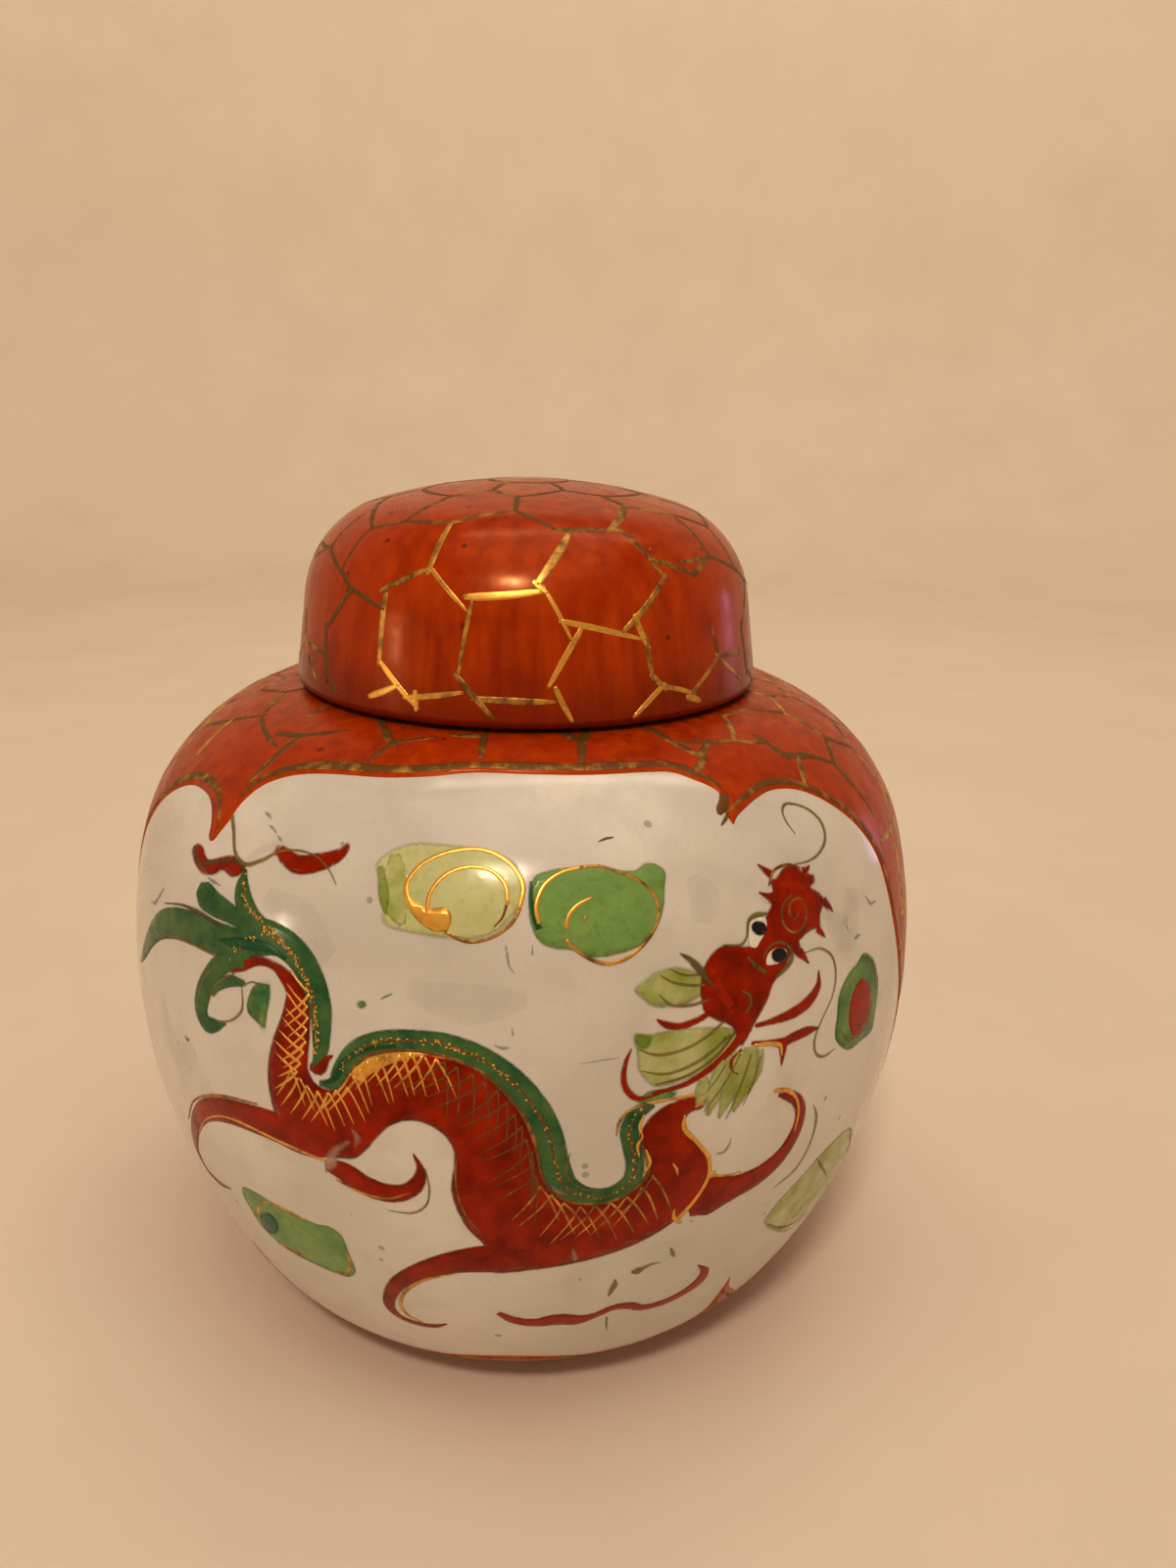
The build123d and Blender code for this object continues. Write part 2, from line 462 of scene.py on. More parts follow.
class Drawing:
    """A flat sheet of strokes and shapes in one colour, as closed thin shells, ready to be wrapped."""

    def __init__(self, stretch):
        self.stretch = stretch  # how much narrower the form is than the sheet, at a height up the outline
        self.points, self.faces, self.edge, self.tone = [], [], [], []
        self.layer = 0

    def lift(self, height):
        """Each stroke lies a hair above the last one, so that no two surfaces share a place."""
        self.layer = (self.layer + 1) % LAYERS
        return height + LAYER_STEP * self.layer

    def stroke(self, points, height, tone, step=0.35):
        """One brush stroke through (across, up, half width) points."""
        line = smooth(points, step=step)
        line[:, 2] = np.maximum(line[:, 2], THINNEST)
        squeeze = self.stretch(line[:, 1])
        way = np.gradient(line[:, :2], axis=0)
        way[:, 0] *= squeeze
        way /= np.maximum(np.hypot(way[:, 0], way[:, 1]), 1e-9)[:, None]
        side = np.stack([-way[:, 1] / squeeze, way[:, 0]], 1)
        top = self.lift(height)
        first = len(self.points)
        rising = [(-1.0, BURIED), (-0.92, top * 0.7), (-0.5, top)]
        ring = rising + [(0.0, top * 1.06)] + [(-across, lift) for across, lift in reversed(rising)]
        for (x, y, w), (sx, sy) in zip(line, side):
            for across, lift in ring:
                self.points.append((x + sx * w * across, y + sy * w * across, lift))
                self.edge.append(max(w, 0.4) * (1 - abs(across)))
                self.tone.append(tone)
        n = len(ring)
        for i in range(len(line) - 1):
            for j in range(n):
                a, b = first + i * n + j, first + i * n + (j + 1) % n
                self.faces.append((a, b, b + n, a + n))
        last = first + (len(line) - 1) * n
        self.faces.append(tuple(range(first + n - 1, first - 1, -1)))
        self.faces.append(tuple(range(last, last + n)))

    def shape(self, loops, height, tone=0.5, grid=0.9, open_sides=()):
        """One filled shape. Each loop is a closed line of points, and loops inside others are holes."""
        rim = np.concatenate([np.array(loop)[:, :2] for loop in loops])
        links, start = [], 0
        for loop in loops:
            links += [(start + i, start + (i + 1) % len(loop)) for i in range(len(loop))]
            start += len(loop)
        low, high = rim.min(0), rim.max(0)
        first_step, margin = grid * 0.37, grid * 0.35
        xs = np.arange(low[0] + first_step, high[0], grid)
        ys = np.arange(low[1] + first_step, high[1], grid)
        inner = np.array([(x + (grid / 2 if j % 2 else 0), y) for j, y in enumerate(ys) for x in xs])
        inner = inner[self.inside(inner, rim, links)]
        gap = self.gap(inner, rim, links)
        inner, gap = inner[gap > margin], gap[gap > margin]
        every = [Vector(p) for p in np.concatenate([rim, inner])]
        flat, _, tris, origin, _, _ = delaunay_2d_cdt(every, links, [], 0, 1e-5)
        flat = np.array([tuple(v) for v in flat])
        middles = np.array([flat[list(t)].mean(0) for t in tris])
        tris = [t for t, keep in zip(tris, self.inside(middles, rim, links)) if keep]
        gaps = np.concatenate([np.zeros(len(rim)), gap])
        gaps = [gaps[o[0]] if o else 0.0 for o in origin]
        top, first, n = self.lift(height), len(self.points), len(flat)
        for z in (top, BURIED):
            for (x, y), g in zip(flat, gaps):
                self.points.append((x, y, z if z < 0 else z * (0.75 + 0.25 * min(1, g / 0.5))))
                self.edge.append(g)
                self.tone.append(tone)
        used = {}
        for t in tris:
            a, b, c = (flat[i] for i in t)
            if (b[0] - a[0]) * (c[1] - a[1]) - (b[1] - a[1]) * (c[0] - a[0]) < 0:
                t = t[::-1]
            self.faces.append(tuple(first + i for i in t))
            self.faces.append(tuple(first + n + i for i in reversed(t)))
            for i in range(3):
                used[(t[i], t[(i + 1) % 3])] = used.get((t[i], t[(i + 1) % 3]), 0) + 1
        for a, b in used:
            on_open_side = any(abs(flat[a][0] - x) < 1e-4 and abs(flat[b][0] - x) < 1e-4 for x in open_sides)
            if (b, a) not in used and not on_open_side:
                self.faces.append((first + a, first + n + a, first + n + b, first + b))

    @staticmethod
    def inside(points, rim, links):
        hits = np.zeros(len(points), int)
        for i, j in links:
            (x0, y0), (x1, y1) = rim[i], rim[j]
            if y0 == y1:
                continue
            crosses = (points[:, 1] >= min(y0, y1)) & (points[:, 1] < max(y0, y1))
            at = x0 + (points[:, 1] - y0) * (x1 - x0) / (y1 - y0)
            hits += crosses & (at > points[:, 0])
        return hits % 2 == 1

    @staticmethod
    def gap(points, rim, links):
        best = np.full(len(points), 1e9)
        for i, j in links:
            a, b = rim[i], rim[j]
            along = b - a
            share = np.clip(((points - a) @ along) / max(along @ along, 1e-12), 0, 1)
            best = np.minimum(best, np.hypot(*(points - a - share[:, None] * along).T))
        return best

    def mesh(self, name):
        mesh = bpy.data.meshes.new(name)
        mesh.from_pydata([(x * MM, y * MM, z * MM) for x, y, z in self.points], [], self.faces)
        for label, values in (("edge", self.edge), ("tone", self.tone)):
            mark = mesh.attributes.new(label, "FLOAT", "POINT")
            mark.data.foreach_set("value", np.array(values, np.float32))
        mesh.update()
        return mesh


def closed_line(*sections):
    """One closed line from smooth sections that meet in corners."""
    return np.concatenate([smooth([*map(tuple, s)])[:-1] for s in sections])


def blob(*points):
    return smooth(points, closed=True)


def oval(x, y, across, up, tilt=0.0, steps=28):
    turns = np.linspace(0, 2 * pi, steps, endpoint=False)
    a, b = across * np.cos(turns), up * np.sin(turns)
    return np.stack([x + a * cos(tilt) - b * sin(tilt), y + a * sin(tilt) + b * cos(tilt)], 1)


def stretch_of(line, round_size):
    """How far the drawing is squeezed sideways when it is wrapped, at each height up the outline."""
    p = np.array(line)
    length = np.concatenate([[0], np.cumsum(np.hypot(*np.diff(p, axis=0).T))])
    return lambda up: np.maximum(np.interp(up, length, p[:, 0]) / round_size, 0.08)


# ------------------------------------------------------------------ finishes
def colour(code):
    """A colour written as #RRGGBB, as the light values the shaders use."""
    parts = [int(code[i : i + 2], 16) / 255 for i in (1, 3, 5)]
    return (*[p / 12.92 if p <= 0.04045 else ((p + 0.055) / 1.055) ** 2.4 for p in parts], 1.0)


class Finish:
    """A material under construction, with short ways to add the nodes that the enamels share."""

    def __init__(self, name, roughness, **sockets):
        self.material = bpy.data.materials.new(name)
        self.material.use_nodes = True
        self.tree = self.material.node_tree
        self.shader = self.tree.nodes["Principled BSDF"]
        self.shader.inputs["Roughness"].default_value = roughness
        for key, value in sockets.items():
            self.shader.inputs[key.replace("_", " ")].default_value = value
        self.place = self.tree.nodes.new("ShaderNodeTexCoord").outputs["Object"]

    def node(self, kind, links=None, **settings):
        return new_node(self.tree, kind, links, settings)

    def noise(self, per_mm, detail=3.0, roughness=0.55, stretch=(1, 1, 1)):
        scaled = self.node("ShaderNodeVectorMath", {0: self.place, 1: stretch},
                           operation="MULTIPLY").outputs[0]
        return self.node(
            "ShaderNodeTexNoise",
            {"Vector": scaled, "Scale": per_mm * 1000, "Detail": detail, "Roughness": roughness},
        ).outputs["Fac"]

    def specks(self, per_mm, size):
        """1 inside scattered small dots, 0 between them."""
        cells = self.node("ShaderNodeTexVoronoi", {"Vector": self.place, "Scale": per_mm * 1000,
                                                   "Randomness": 1.0})
        chosen = self.node("ShaderNodeSeparateColor", {0: cells.outputs["Color"]}).outputs[0]
        limit = self.math("MULTIPLY", self.math("POWER", chosen, 4.0), size)
        return self.math("LESS_THAN", cells.outputs["Distance"], limit)

    def math(self, operation, a, b=0.0, clamp=False):
        made = self.node("ShaderNodeMath", {0: a, 1: b}, operation=operation)
        made.use_clamp = clamp
        return made.outputs[0]

    def spread(self, value, low, high, out_low=0.0, out_high=1.0):
        return self.node(
            "ShaderNodeMapRange",
            {"Value": value, "From Min": low, "From Max": high, "To Min": out_low, "To Max": out_high},
        ).outputs[0]

    def mark(self, name):
        return self.node("ShaderNodeAttribute", attribute_name=name).outputs["Fac"]

    def mix(self, share, a, b):
        a, b = (colour(c) if isinstance(c, str) else c for c in (a, b))
        return self.node("ShaderNodeMix", {0: share, 6: a, 7: b}, data_type="RGBA").outputs[2]

    def relief(self, height, depth_mm, strength=1.0):
        bump = self.node("ShaderNodeBump", {"Height": height, "Distance": depth_mm * MM,
                                            "Strength": strength})
        self.tree.links.new(bump.outputs[0], self.shader.inputs["Normal"])

    def set(self, name, value):
        self.tree.links.new(value, self.shader.inputs[name])


def porcelain_nodes(f):
    """White glaze: grey clouding, a faint grain, iron specks."""
    cloudy = f.mix(f.spread(f.noise(0.03, 3.0), 0.4, 0.66), "#D7D2CB", "#C4BFB8")
    cloudy = f.mix(f.spread(f.noise(0.16, 4.0), 0.5, 0.72, 0.0, 0.4), cloudy, "#B9B4AB")
    cloudy = f.mix(f.spread(f.noise(3.2, 3.0), 0.4, 0.7, 0.0, 0.18), cloudy, "#B8AE9C")
    specked = f.mix(f.math("MULTIPLY", f.specks(0.33, 0.16), 0.5), cloudy, "#6F6658")
    return f.mix(f.math("MULTIPLY", f.specks(0.11, 0.07), 0.8), specked, "#3B332B")


def orange_nodes(f):
    """Iron-red ground over the glaze: brush streaks that run up and down, thin patches and dark specks."""
    streaks = f.noise(0.55, 4.0, 0.6, (1, 1, 0.16))
    patches = f.noise(0.09, 3.0)
    base = f.mix(f.spread(streaks, 0.3, 0.72), "#8E2802", "#B64603")
    base = f.mix(f.spread(patches, 0.42, 0.7, 0.0, 0.6), base, "#AA3703")
    base = f.mix(f.spread(f.noise(0.2, 2.0), 0.55, 0.8, 0.0, 0.5), base, "#791A02")
    base = f.mix(f.math("MULTIPLY", f.specks(0.45, 0.2), 0.6), base, "#3A0D02")
    return f.mix(f.math("MULTIPLY", f.specks(0.3, 0.1), 0.45), base, "#D9A36A"), streaks


def over_bare_clay(f, dark_clay, grain_depth=0.0):
    """Bare fired clay where the outline is marked bare, and the finish itself everywhere else."""
    bare = f.mix(f.noise(1.4, 5.0), "#B9A98E", dark_clay)
    clay = f.node("ShaderNodeBsdfPrincipled", {"Base Color": bare, "Roughness": 0.85})
    if grain_depth:
        bump = {"Height": f.noise(2.5, 5.0), "Distance": grain_depth * MM, "Strength": 0.8}
        grain = f.node("ShaderNodeBump", bump)
        f.tree.links.new(grain.outputs[0], clay.inputs["Normal"])
    glazed = f.math("GREATER_THAN", f.mark("finish"), (BARE + GLAZED) / 2)
    both = f.node("ShaderNodeMixShader", {0: glazed, 1: clay.outputs[0], 2: f.shader.outputs[0]})
    f.tree.links.new(both.outputs[0], f.tree.nodes["Material Output"].inputs["Surface"])


def white_porcelain():
    f = Finish("white porcelain", 0.13, IOR=1.52)
    f.set("Base Color", porcelain_nodes(f))
    f.set("Roughness", f.spread(f.noise(0.5, 3.0), 0.3, 0.8, 0.1, 0.24))
    f.relief(f.noise(0.11, 2.0), 0.05, 0.6)
    over_bare_clay(f, "#9A8668", 0.08)
    return f.material


def lid_porcelain():
    f = Finish("painted lid", 0.18, IOR=1.4, Specular_IOR_Level=0.56, Specular_Tint=(1.0, 0.6, 0.28, 1.0))
    painted, streaks = orange_nodes(f)
    # the red darkens over the lowest 7 mm of the lid towards its rim: painted shade where the lid sits over
    # the shoulder
    low = f.node("ShaderNodeSeparateXYZ", {0: f.place}).outputs["Z"]
    shade_near_rim = f.spread(low, (lid_base + 7) * MM, (lid_base + rim_bare_height) * MM, 0.0, 0.75)
    painted = f.mix(shade_near_rim, painted, "#6E1502")
    is_paint = f.math("GREATER_THAN", f.mark("finish"), (GLAZED + PAINTED) / 2)
    f.set("Base Color", f.mix(is_paint, porcelain_nodes(f), painted))
    f.set("Roughness", f.spread(f.noise(0.3, 3.0), 0.3, 0.75, 0.17, 0.34))
    f.relief(f.math("ADD", f.noise(0.13, 2.0), f.math("MULTIPLY", streaks, 0.15)), 0.05, 0.6)
    over_bare_clay(f, "#8F7450")
    return f.material


def orange_ground():
    f = Finish("orange ground", 0.2, IOR=1.4, Specular_IOR_Level=0.4, Specular_Tint=(1.0, 0.56, 0.22, 1.0))
    painted, streaks = orange_nodes(f)
    f.set("Base Color", f.mix(f.spread(f.mark("edge"), 0.0, 0.9, 0.45, 0.0), painted, "#C9570F"))
    f.set("Roughness", f.spread(f.noise(0.3, 3.0), 0.3, 0.75, 0.19, 0.42))
    f.relief(f.math("ADD", f.noise(0.13, 2.0), f.math("MULTIPLY", streaks, 0.15)), 0.05, 0.6)
    return f.material


def enamel(name, thin, thick, dark, roughness=0.18, pool=0.9, soft=0.3, cover=1.0, sheen=(1.0, 1.0, 1.0)):
    """A brushed enamel: light where the brush was dry, dark where it pools, and thin at its soft edge."""
    f = Finish(name, roughness, IOR=1.5, Specular_IOR_Level=0.3, Specular_Tint=(*sheen, 1.0))
    body = f.mix(f.spread(f.noise(0.3, 4.0), 0.34, 0.7), thin, thick)
    pooled = f.spread(f.mark("edge"), 0.1, pool, 0.32, 0.0)
    body = f.mix(f.math("MULTIPLY", pooled, f.spread(f.noise(0.25, 2.0), 0.3, 0.6)), body, dark)
    toned = f.mix(f.spread(f.mark("tone"), 0.5, 1.0), body, dark)
    toned = f.mix(f.spread(f.mark("tone"), 0.5, 0.0, 0.0, 0.8), toned, thin)
    toned = f.mix(f.spread(f.noise(1.3, 4.0), 0.5, 0.8, 0.0, 0.3), toned, dark)
    f.set("Base Color", f.mix(f.math("MULTIPLY", f.specks(0.6, 0.12), 0.5), toned, "#2A1206"))
    f.set("Roughness", f.spread(f.noise(0.6, 3.0), 0.3, 0.75, roughness * 0.7, roughness * 1.9))
    f.relief(f.math("ADD", f.noise(0.4, 3.0), f.math("MULTIPLY", f.mark("edge"), 0.2, clamp=True)), 0.03, 0.5)
    ragged = f.math("MULTIPLY", f.mark("edge"), f.spread(f.noise(1.6, 3.0), 0.3, 0.7, 0.7, 1.4))
    f.set("Alpha", f.spread(ragged, 0.02, soft, 0.05, cover))
    return f.material


def gilding():
    """Brushed-on gold. Tone 0 is bright gold, tone 1 is rubbed away to the brown underneath."""
    f = Finish("gilding", 0.3, Metallic=1.0)
    tone = f.mark("tone")
    worn = f.math("ADD", tone, f.spread(f.noise(0.5, 5.0, 0.7), 0.3, 0.7, -0.28, 0.28), clamp=True)
    worn = f.math("ADD", worn, f.math("MULTIPLY", f.noise(3.0, 2.0), 0.12), clamp=True)
    rubbed = f.spread(worn, 0.4, 0.8)
    gold = f.mix(f.noise(1.1, 3.0), "#F2C266", "#D09838")
    brown = f.mix(f.noise(0.8, 3.0), "#7E5218", "#55370E")
    f.set("Base Color", f.mix(rubbed, gold, brown))
    f.set("Metallic", f.spread(rubbed, 0.0, 1.0, 0.75, 0.2))
    f.set("Roughness", f.spread(rubbed, 0.0, 1.0, 0.34, 0.5))
    f.relief(f.noise(1.6, 3.0), 0.03, 0.5)
    return f.material


FINISHES = {
    "porcelain": white_porcelain(),
    "lid": lid_porcelain(),
    "ground": orange_ground(),
    "red": enamel("iron-red enamel", "#A02602", "#6A0E01", "#400500", sheen=(1.0, 0.42, 0.12)),
    "green": enamel("green enamel", "#80A05A", "#146032", "#0A4426", 0.16, 0.6),
    "deep green": enamel("deep green enamel", "#1A6034", "#0E4628", "#06321E", 0.16, 0.5, 0.45),
    "pale green": enamel("yellow-green enamel", "#C9CA98", "#929A36", "#748A1C", 0.16, 0.5, 0.5, 0.92),
    "white": enamel("white enamel", "#E2DDD4", "#D4CEC3", "#A9A294", 0.18, 0.9, 0.2),
    "worn": enamel("worn patch", "#C8A596", "#B58D7C", "#8E5A48", 0.3, 0.9, 0.5, 0.6),
    "stain": enamel("faint stain", "#B3ACA3", "#A39B93", "#8E857E", 0.25, 3.0, 2.6, 0.1),
    "black": enamel("black enamel", "#26221F", "#12100E", "#050404", 0.14, 0.9, 0.2),
    "olive": enamel("olive brush line", "#978346", "#74612E", "#50431E", 0.3, 0.9, 0.3, 0.85),
    "smudge": enamel("grey smudge", "#9F9AA2", "#85808E", "#5C5868", 0.35, 0.9, 0.35, 0.55),
    "gold": gilding(),
}


# ------------------------------------------------------------------ the painting on the jar
# Everything is (across, up) in millimetres. Across is measured round the belly from the middle of the front,
# and up along the outline from the foot ring. A third number is the brush's half width. The two numbers after
# a list of points are its height above the painted face and its tone: 0 is thin paint or bright gold, and 1 is
# dark pooled paint or gold that is rubbed away.
outline_up_the_jar = body_arcs(SKIN)
jar_stretch = stretch_of(outline_up_the_jar, FRONT_ROUND)
half_turn = pi * FRONT_ROUND
ground_left = -87.1
ground_right = ground_left + half_turn
gold_share = 0.75  # the gold lines on the dragon and the clouds are this share of the widths listed for them
lid_gold_share = 0.82  # the same for the net on the lid

panel_top = [
    (-40.3, 78.6), (-39.9, 81.2), (-38.5, 83.6), (-36, 85.3), (-33, 86.4), (-28, 87.3), (-20, 88.0),
    (-14, 88.8), (-8, 89.8), (0, 89.8), (8, 89.5), (18, 89.2), (21.5, 88.7), (24, 87.3), (26.2, 85.7),
    (26.7, 84.4), (25.9, 82.8), (26.2, 81.2),
]  # fmt: skip
panel_right = [
    (26.3, 81.2), (27.2, 81.9), (29.2, 82.7), (32, 83.5), (35, 83.9), (39, 83.3), (42, 81.9), (45, 79.6),
    (48, 76.3), (50.2, 72.5), (51.6, 68), (53, 63), (55, 57.5), (57.6, 51), (59.4, 44), (59, 36), (55.5, 27),
    (49, 19), (42, 14.2), (36, 13.6), (32.2, 16.8), (30, 19.3), (28.9, 22),
]  # fmt: skip
panel_bottom = [
    (28.8, 22), (28.7, 18), (28.2, 13), (24, 10.4), (17, 9.4), (10, 9.8), (5, 11.4), (-1, 12.4), (-7, 12.0),
    (-13, 10.2), (-21, 9.2), (-31, 9.4), (-39, 11.0), (-43, 15), (-43.6, 21),
]  # fmt: skip
panel_left = [
    (-43.8, 21), (-45, 18), (-48, 15), (-53, 13.6), (-59, 15.6), (-65, 20.5), (-70, 27), (-73, 35),
    (-73.6, 43), (-72, 52), (-69, 60), (-66, 67), (-63, 72.6), (-60.3, 76), (-57, 78.4), (-53.5, 79.9),
    (-50, 80.3), (-47, 80), (-44.8, 79), (-43.3, 77.6), (-42.5, 76.3), (-41.8, 76), (-40.9, 76.8),
]  # fmt: skip
panel = closed_line(panel_top, panel_right, panel_bottom, panel_left)

# (start across, start up, end across, end up, half width, tone) of each gold brush line on the orange ground
shoulder_lines = [
    (-57, 91.3, -42.6, 88.6, 0.3, 0.75), (-46.5, 90.2, -39.5, 91.6, 0.45, 0.8),
    (-40.5, 91.6, -34, 94.2, 0.35, 0.8), (-40.9, 91, -41.3, 83.2, 0.45, 0.8),
    (-35, 99.6, -27.5, 96, 0.5, 0.85), (-28.5, 96.4, -22.2, 92.8, 0.5, 0.85),
    (-22.6, 94.5, -24.6, 89.8, 0.35, 0.8), (-22.8, 93.6, -16.5, 95.8, 0.3, 0.9),
    (-14.5, 96.6, -7.6, 96.9, 0.45, 0.85), (-8.2, 98, -7.4, 92.2, 0.42, 0.7),
    (-14, 98.5, -11.5, 99.8, 0.4, 0.85), (6.3, 98.6, 9.9, 95, 0.6, 0.9), (12.3, 98.8, 9.2, 94.8, 0.55, 0.9),
    (9.8, 96, 8.2, 91.4, 0.5, 0.85), (24.3, 98.6, 25.6, 93, 0.5, 0.85), (25, 94.5, 28.6, 89.6, 0.45, 0.75),
    (27.8, 90.3, 31.6, 92.2, 0.5, 0.6), (28.6, 90.2, 25, 88.2, 0.45, 0.6), (26.5, 93.2, 38, 91.4, 0.32, 0.75),
    (37, 91.4, 44.5, 96.8, 0.38, 0.65), (36.8, 91.8, 42.8, 89.8, 0.34, 0.7),
    (42.6, 91.6, 43.6, 86.6, 0.45, 0.75), (43, 87.6, 48.6, 85.9, 0.55, 0.7),
    (46, 86.6, 42.2, 83.2, 0.4, 0.65), (47, 86.8, 53.4, 83.4, 0.4, 0.65), (52.8, 83.4, 59.4, 86.6, 0.36, 0.7),
    (52.8, 84, 54.4, 75.6, 0.4, 0.7), (58.5, 86.6, 65, 82.6, 0.4, 0.65), (64, 82.8, 70.6, 86.4, 0.38, 0.6),
    (70, 86.4, 76.6, 82.6, 0.36, 0.6), (76, 82.8, 83.6, 86.8, 0.38, 0.7), (83, 86.6, 91, 84.4, 0.4, 0.6),
    (90.4, 84.6, 98, 88.4, 0.36, 0.7), (97.2, 88, 104.5, 91.6, 0.36, 0.7),
    (97.4, 88.6, 100.6, 81.6, 0.4, 0.6), (90.6, 85.2, 89.6, 77.2, 0.4, 0.6),
    (58.8, 86.4, 58.2, 92.6, 0.4, 0.7), (58.6, 92, 52.6, 95.8, 0.36, 0.7), (53.4, 95.8, 44, 96.4, 0.36, 0.75),
    (53, 95.4, 53.6, 99.8, 0.36, 0.8), (58, 91.8, 66.4, 95.2, 0.38, 0.65), (66, 95, 66.4, 99.8, 0.36, 0.75),
    (65.6, 95.2, 72.8, 91.8, 0.4, 0.6), (72.4, 92.4, 70.2, 85.8, 0.4, 0.6), (72, 91.8, 80.6, 95.4, 0.36, 0.7),
    (80, 95, 80.4, 99.8, 0.36, 0.8), (79.6, 95.4, 86.8, 92, 0.4, 0.65), (86.4, 92.6, 83.2, 86, 0.38, 0.6),
    (86, 92, 94.8, 95.6, 0.38, 0.7), (94.2, 95.2, 94.6, 99.8, 0.36, 0.8), (94, 95.4, 104.4, 91, 0.36, 0.7),
    (114, 94, 110, 99.8, 0.36, 0.8),
]  # fmt: skip
side_lines = [
    (64.4, 83.2, 64.8, 75.4, 0.42, 0.55), (65, 76.2, 58.8, 72, 0.4, 0.6), (59.4, 72.4, 53, 72.8, 0.38, 0.65),
    (64.4, 75.8, 71.4, 71.8, 0.4, 0.5), (71, 72, 77, 76.4, 0.42, 0.55), (76.4, 75.6, 76.2, 83.2, 0.4, 0.6),
    (76.2, 76, 83.4, 72.6, 0.4, 0.5), (83, 72.8, 89.8, 77, 0.4, 0.6), (83.2, 73.2, 83.4, 65.8, 0.42, 0.6),
    (83.2, 66.4, 78, 61, 0.4, 0.5), (83.2, 66, 90.6, 67, 0.38, 0.6), (71.2, 72.4, 71, 64.6, 0.42, 0.5),
    (71.2, 65.2, 64.6, 61, 0.4, 0.55), (71, 65, 78.4, 61, 0.4, 0.5), (65.2, 61.4, 57, 62.2, 0.38, 0.6),
    (59.2, 72.6, 58.6, 61.6, 0.4, 0.6), (65, 61.6, 65.2, 52.4, 0.42, 0.5),
    (78.2, 61.4, 78.6, 52.6, 0.42, 0.55), (65, 53, 60, 49.6, 0.4, 0.6), (64.8, 53.2, 72.4, 48.2, 0.4, 0.5),
    (78.8, 53.2, 71.8, 48.2, 0.4, 0.55), (78.6, 53, 88, 52.4, 0.38, 0.6), (72, 48.8, 72.2, 40.6, 0.42, 0.5),
    (72.2, 41.2, 65, 36.8, 0.4, 0.6), (72, 41, 79.4, 36.8, 0.4, 0.55), (65.4, 37, 59.8, 39.4, 0.38, 0.6),
    (79, 37, 86.4, 38.6, 0.38, 0.6), (65.2, 37.4, 66, 28.4, 0.42, 0.55), (79.2, 37.4, 78.8, 28.6, 0.42, 0.55),
    (66.2, 29, 58, 27.8, 0.38, 0.6), (66, 29.2, 72.8, 24.6, 0.4, 0.5), (79, 29.2, 72.2, 24.6, 0.4, 0.55),
    (78.8, 29, 88.4, 28.6, 0.38, 0.6), (72.4, 25.2, 72.6, 17.4, 0.42, 0.6), (72.6, 18, 64.6, 13.4, 0.4, 0.6),
    (72.4, 18, 80.6, 13.4, 0.4, 0.6), (65.2, 13.6, 56, 15.6, 0.38, 0.6), (80.2, 13.6, 90, 15.8, 0.38, 0.6),
    (65, 13.8, 64, 4.6, 0.42, 0.65), (80.2, 13.8, 81, 4.6, 0.42, 0.65), (64.4, 5.2, 56, 4.4, 0.4, 0.7),
    (81, 5.2, 90, 4.4, 0.4, 0.7), (64.2, 5.4, 72.6, 2.2, 0.4, 0.7), (81, 5.4, 72.2, 2.2, 0.4, 0.7),
    (56.6, 4.2, 50, 9.6, 0.4, 0.65), (50.4, 9.2, 40, 5, 0.4, 0.65), (40.6, 5, 32, 9.4, 0.42, 0.65),
    (32.4, 9.2, 31.2, 13.6, 0.36, 0.6), (32.4, 9.2, 20, 4.4, 0.4, 0.7), (20.4, 4.4, 10, 7.6, 0.4, 0.65),
    (10.4, 7.6, -2, 4.2, 0.4, 0.65), (-1.4, 4.2, -12, 7.6, 0.4, 0.65), (-11.4, 7.6, -24, 4.4, 0.4, 0.7),
    (-23.6, 4.4, -36, 7.2, 0.4, 0.65), (-35.4, 7.2, -47, 4.8, 0.4, 0.65), (-46.6, 4.8, -56, 9.4, 0.4, 0.65),
    (-55.6, 9.2, -69.6, 4.6, 0.4, 0.65),
]  # fmt: skip


def paint_ground():
    """The orange ground of half the jar, open at the white panel and at the sides, where the halves join."""
    ground = Drawing(jar_stretch)
    side = np.arange(0.6, 99.9, 0.9)
    across = np.arange(ground_left, ground_right, 0.9)[1:]
    border = [(ground_left, y) for y in side] + [(x, side[-1]) for x in across]
    border += [(ground_right, y) for y in side[::-1]] + [(x, side[0]) for x in across[::-1]]
    ground.shape([border, panel], 0.035, grid=1.5, open_sides=(ground_left, ground_right))
    return ground


def outside_of(line, by):
    """A line that runs beside another, outside it."""
    p = smooth(line)
    way = np.gradient(p[:, :2], axis=0)
    way /= np.hypot(way[:, 0], way[:, 1])[:, None]
    return np.stack([p[:, 0] - way[:, 1] * by, p[:, 1] + way[:, 0] * by], 1)


def brushed(line, half_width, ends=0.35, every=4):
    """Gives a line a brush width that swells and thins a little and narrows at both ends."""
    p = np.array(line)[::every]
    along = np.linspace(0, 1, len(p))
    width = half_width * (1 + 0.18 * np.sin(9 * along + p[0, 0]) * np.sin(23 * along))
    width *= np.minimum(1, ends + (1 - ends) * np.minimum(along, 1 - along) * 14)
    return np.column_stack([p, width])


